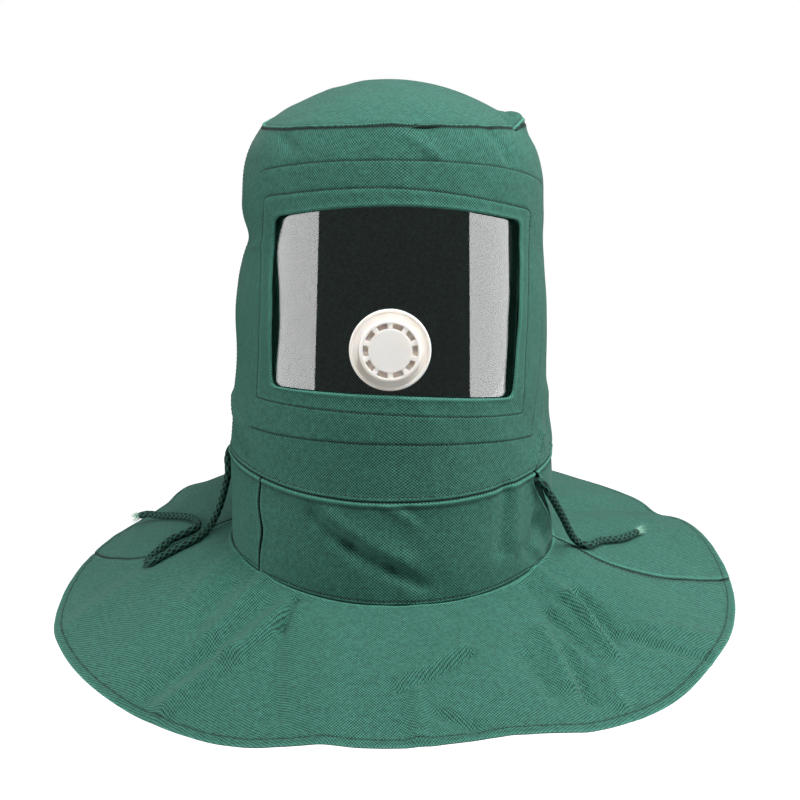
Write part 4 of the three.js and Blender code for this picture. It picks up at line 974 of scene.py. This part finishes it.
def stitches(name, lines, lift=-0.25):
    """Spindles of thread, one every step along lines of turns and stations: ends on the cloth, sides
    half a thread wide, and backs that stand a little proud."""
    centres, ahead, up = [], [], []
    for turn, station in lines:
        turn, station = np.broadcast_arrays(np.asarray(turn, float), np.asarray(station, float))
        dense = plain_point(turn, station)
        run = np.concatenate([[0], np.cumsum(np.linalg.norm(np.diff(dense, axis=0), axis=1))])
        steps = np.arange(STITCH_STEP / 2, run[-1], STITCH_STEP)
        turns, stations = np.interp(steps, run, turn), np.interp(steps, run, station)
        near = np.interp(steps + 0.6, run, turn), np.interp(steps + 0.6, run, station)
        far = np.interp(steps - 0.6, run, turn), np.interp(steps - 0.6, run, station)
        centres.append(hood_point(turns, stations, lift=lift))
        ahead.append(unit(hood_point(*near) - hood_point(*far)))
        up.append(facing(turns, stations)[0])
    centres, ahead, up = np.concatenate(centres), np.concatenate(ahead), np.concatenate(up)
    side = np.cross(up, ahead)
    along = np.array([-0.5] + [-0.3] * 4 + [0.3] * 4 + [0.5]) * STITCH
    wide = np.array([0] + [0.4, 0, -0.4, 0] * 2 + [0])
    high = np.array([-0.15] + [0.1, 0.42, 0.1, -0.25] * 2 + [-0.15])
    along, wide, high = along[:, None], wide[:, None], high[:, None]
    points = centres[:, None] + along * ahead[:, None] + wide * side[:, None] + high * up[:, None]
    shape = [(0, 2, 1), (0, 3, 2), (0, 4, 3), (0, 1, 4), (9, 5, 6), (9, 6, 7), (9, 7, 8), (9, 8, 5)]
    barrel = [(1, 2, 6, 5), (2, 3, 7, 6), (3, 4, 8, 7), (4, 1, 5, 8)]
    starts = range(0, 10 * len(centres), 10)
    faces = [tuple(corner + start for corner in face) for start in starts for face in shape + barrel]
    mesh = bpy.data.meshes.new(name)
    mesh.from_pydata((points.reshape(-1, 3) * 0.001).tolist(), [], faces)
    mesh.shade_smooth()
    piece = placed(name, mesh, THREAD)
    return piece


all_round = np.linspace(-180, 180, 721)
frame_stitches = np.concatenate([frame_line, frame_line[:1]])
open_side = outer_line[: 3 * len(outer_line) // 4]
stitches("window_stitches", [frame_stitches.T, open_side.T])
stitches("neck_stitches", [(all_round, 2 - 2.6 / 228)], lift=-0.2)
stitches("cape_seam_stitches", [(all_round, 3 - 2.4 / 67)], lift=-0.2)
down = np.linspace(1.02, 1.98, 200)
stitches("side_stitches", [(90 + 1.6, down), (-90 - 1.6, down)])
seam_down = np.linspace(3.01, 3.995, 200)
shoulder = [
    (between(SHOULDER_LEFT, (seam_down - 3) * 4) + 1.1, seam_down),
    (between(SHOULDER_RIGHT, (seam_down - 3) * 4) - 1.1, seam_down),
]
stitches("cape_stitches", shoulder)
stitches("hem_stitches", [(all_round, 4 - HEM / CAPE_LENGTH)], lift=0.05)
slit_down = np.linspace(2.05, 2.93, 120)
slit_rows = [
    (slit_edge(slit_down, SLIT_LEFT, GAPE_LEFT, 1) + 2.0, slit_down),
    (slit_edge(slit_down, SLIT_RIGHT, GAPE_RIGHT, 1) + 2.0, slit_down),
]
stitches("slit_stitches", slit_rows)

# Lens: a clear plastic sheet bent round the face in its pocket, straight from its top edge to its bottom.
LENS_TOP, LENS_HEIGHT, LENS_DEPTH, LENS = 50.0, 171.0, 2.6, 1.5
LENS_TURNS, LENS_HOLE = (-56.0, 54.0), 17.3


def lens_point(turn, drop, depth):
    """Points on straight lines from the tube's section at the lens's top to that at its foot, set in."""
    turn, drop = np.broadcast_arrays(np.asarray(turn, float), np.asarray(drop, float))
    ends = []
    for level in (LENS_TOP, LENS_TOP + LENS_HEIGHT):
        station = station_at(np.zeros(1), np.full(1, CLOTH - level))[0]
        station = np.full_like(turn, station)
        ends.append(plain_point(turn, station) - depth * facing(turn, station)[0])
    share = ((drop - LENS_TOP) / LENS_HEIGHT)[..., None]
    return ends[0] * (1 - share) + ends[1] * share


def lens_material():
    """Clear plastic sheet."""
    material, shader, place, cut = new_material("clear_sheet")
    feed(shader, Base_Color=(0.97, 0.98, 0.98, 1), Roughness=0.0, IOR=1.75, Transmission_Weight=1.0)
    return material


VALVE_TURN, VALVE_DROP = -3.0, 166.0
VALVE_CENTRE = lens_point(VALVE_TURN, VALVE_DROP, LENS_DEPTH)
VALVE_RIGHT = unit(
    lens_point(VALVE_TURN + 1, VALVE_DROP, LENS_DEPTH) - lens_point(VALVE_TURN - 1, VALVE_DROP, LENS_DEPTH)
)
VALVE_DOWN = lens_point(VALVE_TURN, VALVE_DROP + 1, LENS_DEPTH) - VALVE_CENTRE
VALVE_OUT = unit(np.cross(VALVE_DOWN, VALVE_RIGHT))
VALVE_UP = np.cross(VALVE_OUT, VALVE_RIGHT)
lens_rim = [(0, LENS_TOP), (1, LENS_TOP), (1, LENS_TOP + LENS_HEIGHT), (0, LENS_TOP + LENS_HEIGHT)]
lens_corners = [(LENS_TURNS[side], drop) for side, drop in lens_rim]
lens_edge = outline(lens_corners, [(0, 0)] * 4, [(0.03, 0.03)] * 4)
middle = np.array([VALVE_TURN, VALVE_DROP])
heading = np.arctan2((lens_edge - middle)[:, 1], (lens_edge - middle)[:, 0] * SIDE_STEP)
lens_hole = middle + LENS_HOLE * np.stack([np.cos(heading) / 1.86, np.sin(heading)], axis=-1)
lens_turn, lens_drop = ring_between([lens_hole, lens_edge], np.linspace(0, 1, 60) ** 1.2)
lens_points = lens_point(lens_turn, lens_drop, LENS_DEPTH)
lens_sheet = skin("lens_sheet", lens_points, lens_material(), around=True, outward=False)
thick = lens_sheet.modifiers.new("sheet", "SOLIDIFY")
thick.thickness, thick.offset = LENS * 0.001, -1
settle(lens_sheet).set_sharp_from_angle(angle=np.radians(SHARP_FROM))
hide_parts("lens")

# Lens pocket: a layer of the same cloth behind the lens, sewn to the front panel round its edge, with an
# opening a little larger than the window.
POCKET_CLOTH, LENS_PLAY, SEAM_DEPTH = 1.2, 0.3, 1.1
pocket_inner = window_outline(4.0)
pocket_corners = [(-60.0, CLOTH - 42.0), (58.0, CLOTH - 42.0), (58.0, CLOTH - 229.0), (-60.0, CLOTH - 229.0)]
pocket_edge = outline(pocket_corners, [(0, 0)] * 4, [(0.03, 0.03)] * 4)
pocket_edge[:, 1] = station_at(pocket_edge[:, 0], pocket_edge[:, 1])
pocket_turn, pocket_station = ring_between([pocket_inner, pocket_edge], np.linspace(0, 1, 26))
pocket_drop = CLOTH - plain_point(pocket_turn, pocket_station)[..., 2]
behind = lens_point(pocket_turn, pocket_drop, LENS_DEPTH + LENS + LENS_PLAY)
sewn = hood_point(pocket_turn, pocket_station, depth=CLOTH + SEAM_DEPTH)
rim = np.clip((np.linspace(0, 1, 26)[:, None, None] - 0.72) / 0.12, 0, 1)
pocket_points = behind + (sewn - behind) * rim * rim * (3 - 2 * rim)
pocket_cut = lay_round(pocket_turn, pocket_points)
pocket_cut = np.concatenate([pocket_cut, pocket_cut[:, :1]], axis=1)
cloth_wall(
    "pocket_cloth", "lens_pocket", pocket_points, pocket_cut, (0.22, 0.20), 0.0168, thickness=POCKET_CLOTH,
    around=True, outward=False,
)

# Valve: a flanged body pushed through the lens from the front, a slotted cap over it, a flap under the cap
# and a ring that holds it from behind, all of soft white plastic that lets some light through.
CAP_RADIUS, SLOT_INNER, SLOT_OUTER, SLOT_COUNT, SLOT_SPAN = 20.2, 14.2, 17.7, 10, 24.0
CAP_BASE, CAP_TOP, CAP_WALL = 2.9, 7.5, 1.6
FLAP_RADIUS, FLAP_TOP, FLAP_EDGE = 18.3, 4.7, 4.2


def valve_material():
    material, shader, place, cut = new_material("valve_plastic")
    cloud = place.noise(90.0, 3.0)
    colour = cloud.blend((0.94, 0.84, 0.77, 1), (0.97, 0.90, 0.84, 1))
    fine = place.noise(700.0, 2.0)
    bump = fine.node("ShaderNodeBump", {"Strength": 0.12, "Distance": 0.0001, "Height": fine})
    feed(
        shader, Base_Color=colour, Roughness=0.32 + cloud * 0.12, Normal=bump, Subsurface_Weight=0.7,
        Subsurface_Radius=(1.0, 0.85, 0.7), Subsurface_Scale=0.004,
    )
    return material


VALVE_PLASTIC = valve_material()


def from_valve(radius, angle, height):
    """Points round the valve's axis at a radius, an angle and a height above the lens's front face."""
    ray = np.cos(angle)[..., None] * VALVE_RIGHT + np.sin(angle)[..., None] * VALVE_UP
    return VALVE_CENTRE + np.asarray(radius)[..., None] * ray + np.asarray(height)[..., None] * VALVE_OUT


def rounded(profile, radius, steps=4):
    """A closed profile with each corner replaced by a quadratic curve that starts a radius before it."""
    profile = np.array(profile, float)
    before, after = np.roll(profile, 1, axis=0) - profile, np.roll(profile, -1, axis=0) - profile
    size = [np.minimum(radius / np.linalg.norm(way, axis=1), 0.45)[:, None] for way in (before, after)]
    start, end = profile + before * size[0], profile + after * size[1]
    share = np.linspace(0, 1, steps)[None, :, None]
    curve = start[:, None] * (1 - share) ** 2 + profile[:, None] * 2 * share * (1 - share)
    return (curve + end[:, None] * share**2).reshape(-1, 2)


def turned(name, node, profile, radius):
    """A closed profile of radius and height carried round the valve's axis."""
    line = rounded(profile, radius)
    angle = np.linspace(0, 2 * np.pi, 121)[None, :-1]
    points = from_valve(line[:, :1] + 0 * angle, angle + 0 * line[:, :1], line[:, 1:] + 0 * angle)
    piece = skin(name, points, VALVE_PLASTIC, around=True, ring=True)
    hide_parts(node)
    return piece


turned("valve_body_turned", "valve_body", [
    (11.0, 2.6), (24.3, 2.6), (25.0, 3.3), (25.7, 3.3), (26.4, 2.6), (26.4, 1.0), (25.7, 0.3), (17.0, 0.3),
    (17.0, -7.5), (11.0, -7.5),
], 0.35)
flap_angle = np.linspace(0, 2 * np.pi, 61)[None, :-1]
flap_radius = np.array([0.0, 12.0, FLAP_RADIUS])[:, None] + 0 * flap_angle
flap_height = np.array([FLAP_TOP, FLAP_TOP, FLAP_EDGE])[:, None] + 0 * flap_angle
flap = from_valve(flap_radius, flap_angle + 0 * flap_radius, flap_height)
valve_flap = skin("valve_flap", flap, VALVE_PLASTIC, around=True)
turned("valve_ring_turned", "valve_ring", [(17.3, -4.05), (21.9, -4.05), (21.9, -6.45), (17.3, -6.45)], 0.5)

half_gap = SLOT_SPAN / 2
step = 360 / SLOT_COUNT
gap_start, gap_end = step / 2 - half_gap, step / 2 + half_gap
within = np.concatenate([
    np.linspace(0, gap_start, 4), np.linspace(gap_start, gap_end, 9)[1:], np.linspace(gap_end, step, 4)[1:-1],
])
cap_angle = np.radians(np.concatenate([90 + step * part + within for part in range(SLOT_COUNT)]))
cap_line = np.array([
    (0, CAP_TOP), (4, CAP_TOP), (8, CAP_TOP), (11, CAP_TOP), (13.2, CAP_TOP), (13.9, CAP_TOP),
    (SLOT_INNER, 7.4), (SLOT_OUTER, 7.4), (18.0, CAP_TOP), (18.7, CAP_TOP), (19.2, 7.42), (19.6, 7.25),
    (19.9, 7.0), (20.1, 6.7), (CAP_RADIUS, 6.2), (CAP_RADIUS, 4.5), (CAP_RADIUS, CAP_BASE),
])
cap_radius, cap_height = cap_line[:, :1] + 0 * cap_angle, cap_line[:, 1:] + 0 * cap_angle
cap_points = from_valve(cap_radius, cap_angle + 0 * cap_radius, cap_height)
valve_cap = skin("valve_cap_moulded", cap_points, VALVE_PLASTIC, around=True)
holes = bmesh.new()
holes.from_mesh(valve_cap.data)
opened = []
for face in holes.faces:
    spot = np.array(face.calc_center_median()) * 1000 - VALVE_CENTRE
    flat = np.array([spot.dot(VALVE_RIGHT), spot.dot(VALVE_UP)])
    reach, bearing = np.hypot(*flat), (np.degrees(np.arctan2(flat[1], flat[0])) - 90) % step
    if SLOT_INNER < reach < SLOT_OUTER and abs(bearing - step / 2) < half_gap:
        opened.append(face)
bmesh.ops.delete(holes, geom=opened, context="FACES")
holes.to_mesh(valve_cap.data)
holes.free()
cap_wall = valve_cap.modifiers.new("wall", "SOLIDIFY")
cap_wall.thickness, cap_wall.offset = CAP_WALL * 0.001, -1
cap_round = valve_cap.modifiers.new("edge", "BEVEL")
cap_round.width, cap_round.segments, cap_round.limit_method = 0.00025, 2, "ANGLE"
cap_round.angle_limit = np.radians(60)
settle(valve_cap).set_sharp_from_angle(angle=np.radians(SHARP_FROM))
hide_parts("valve_cap")
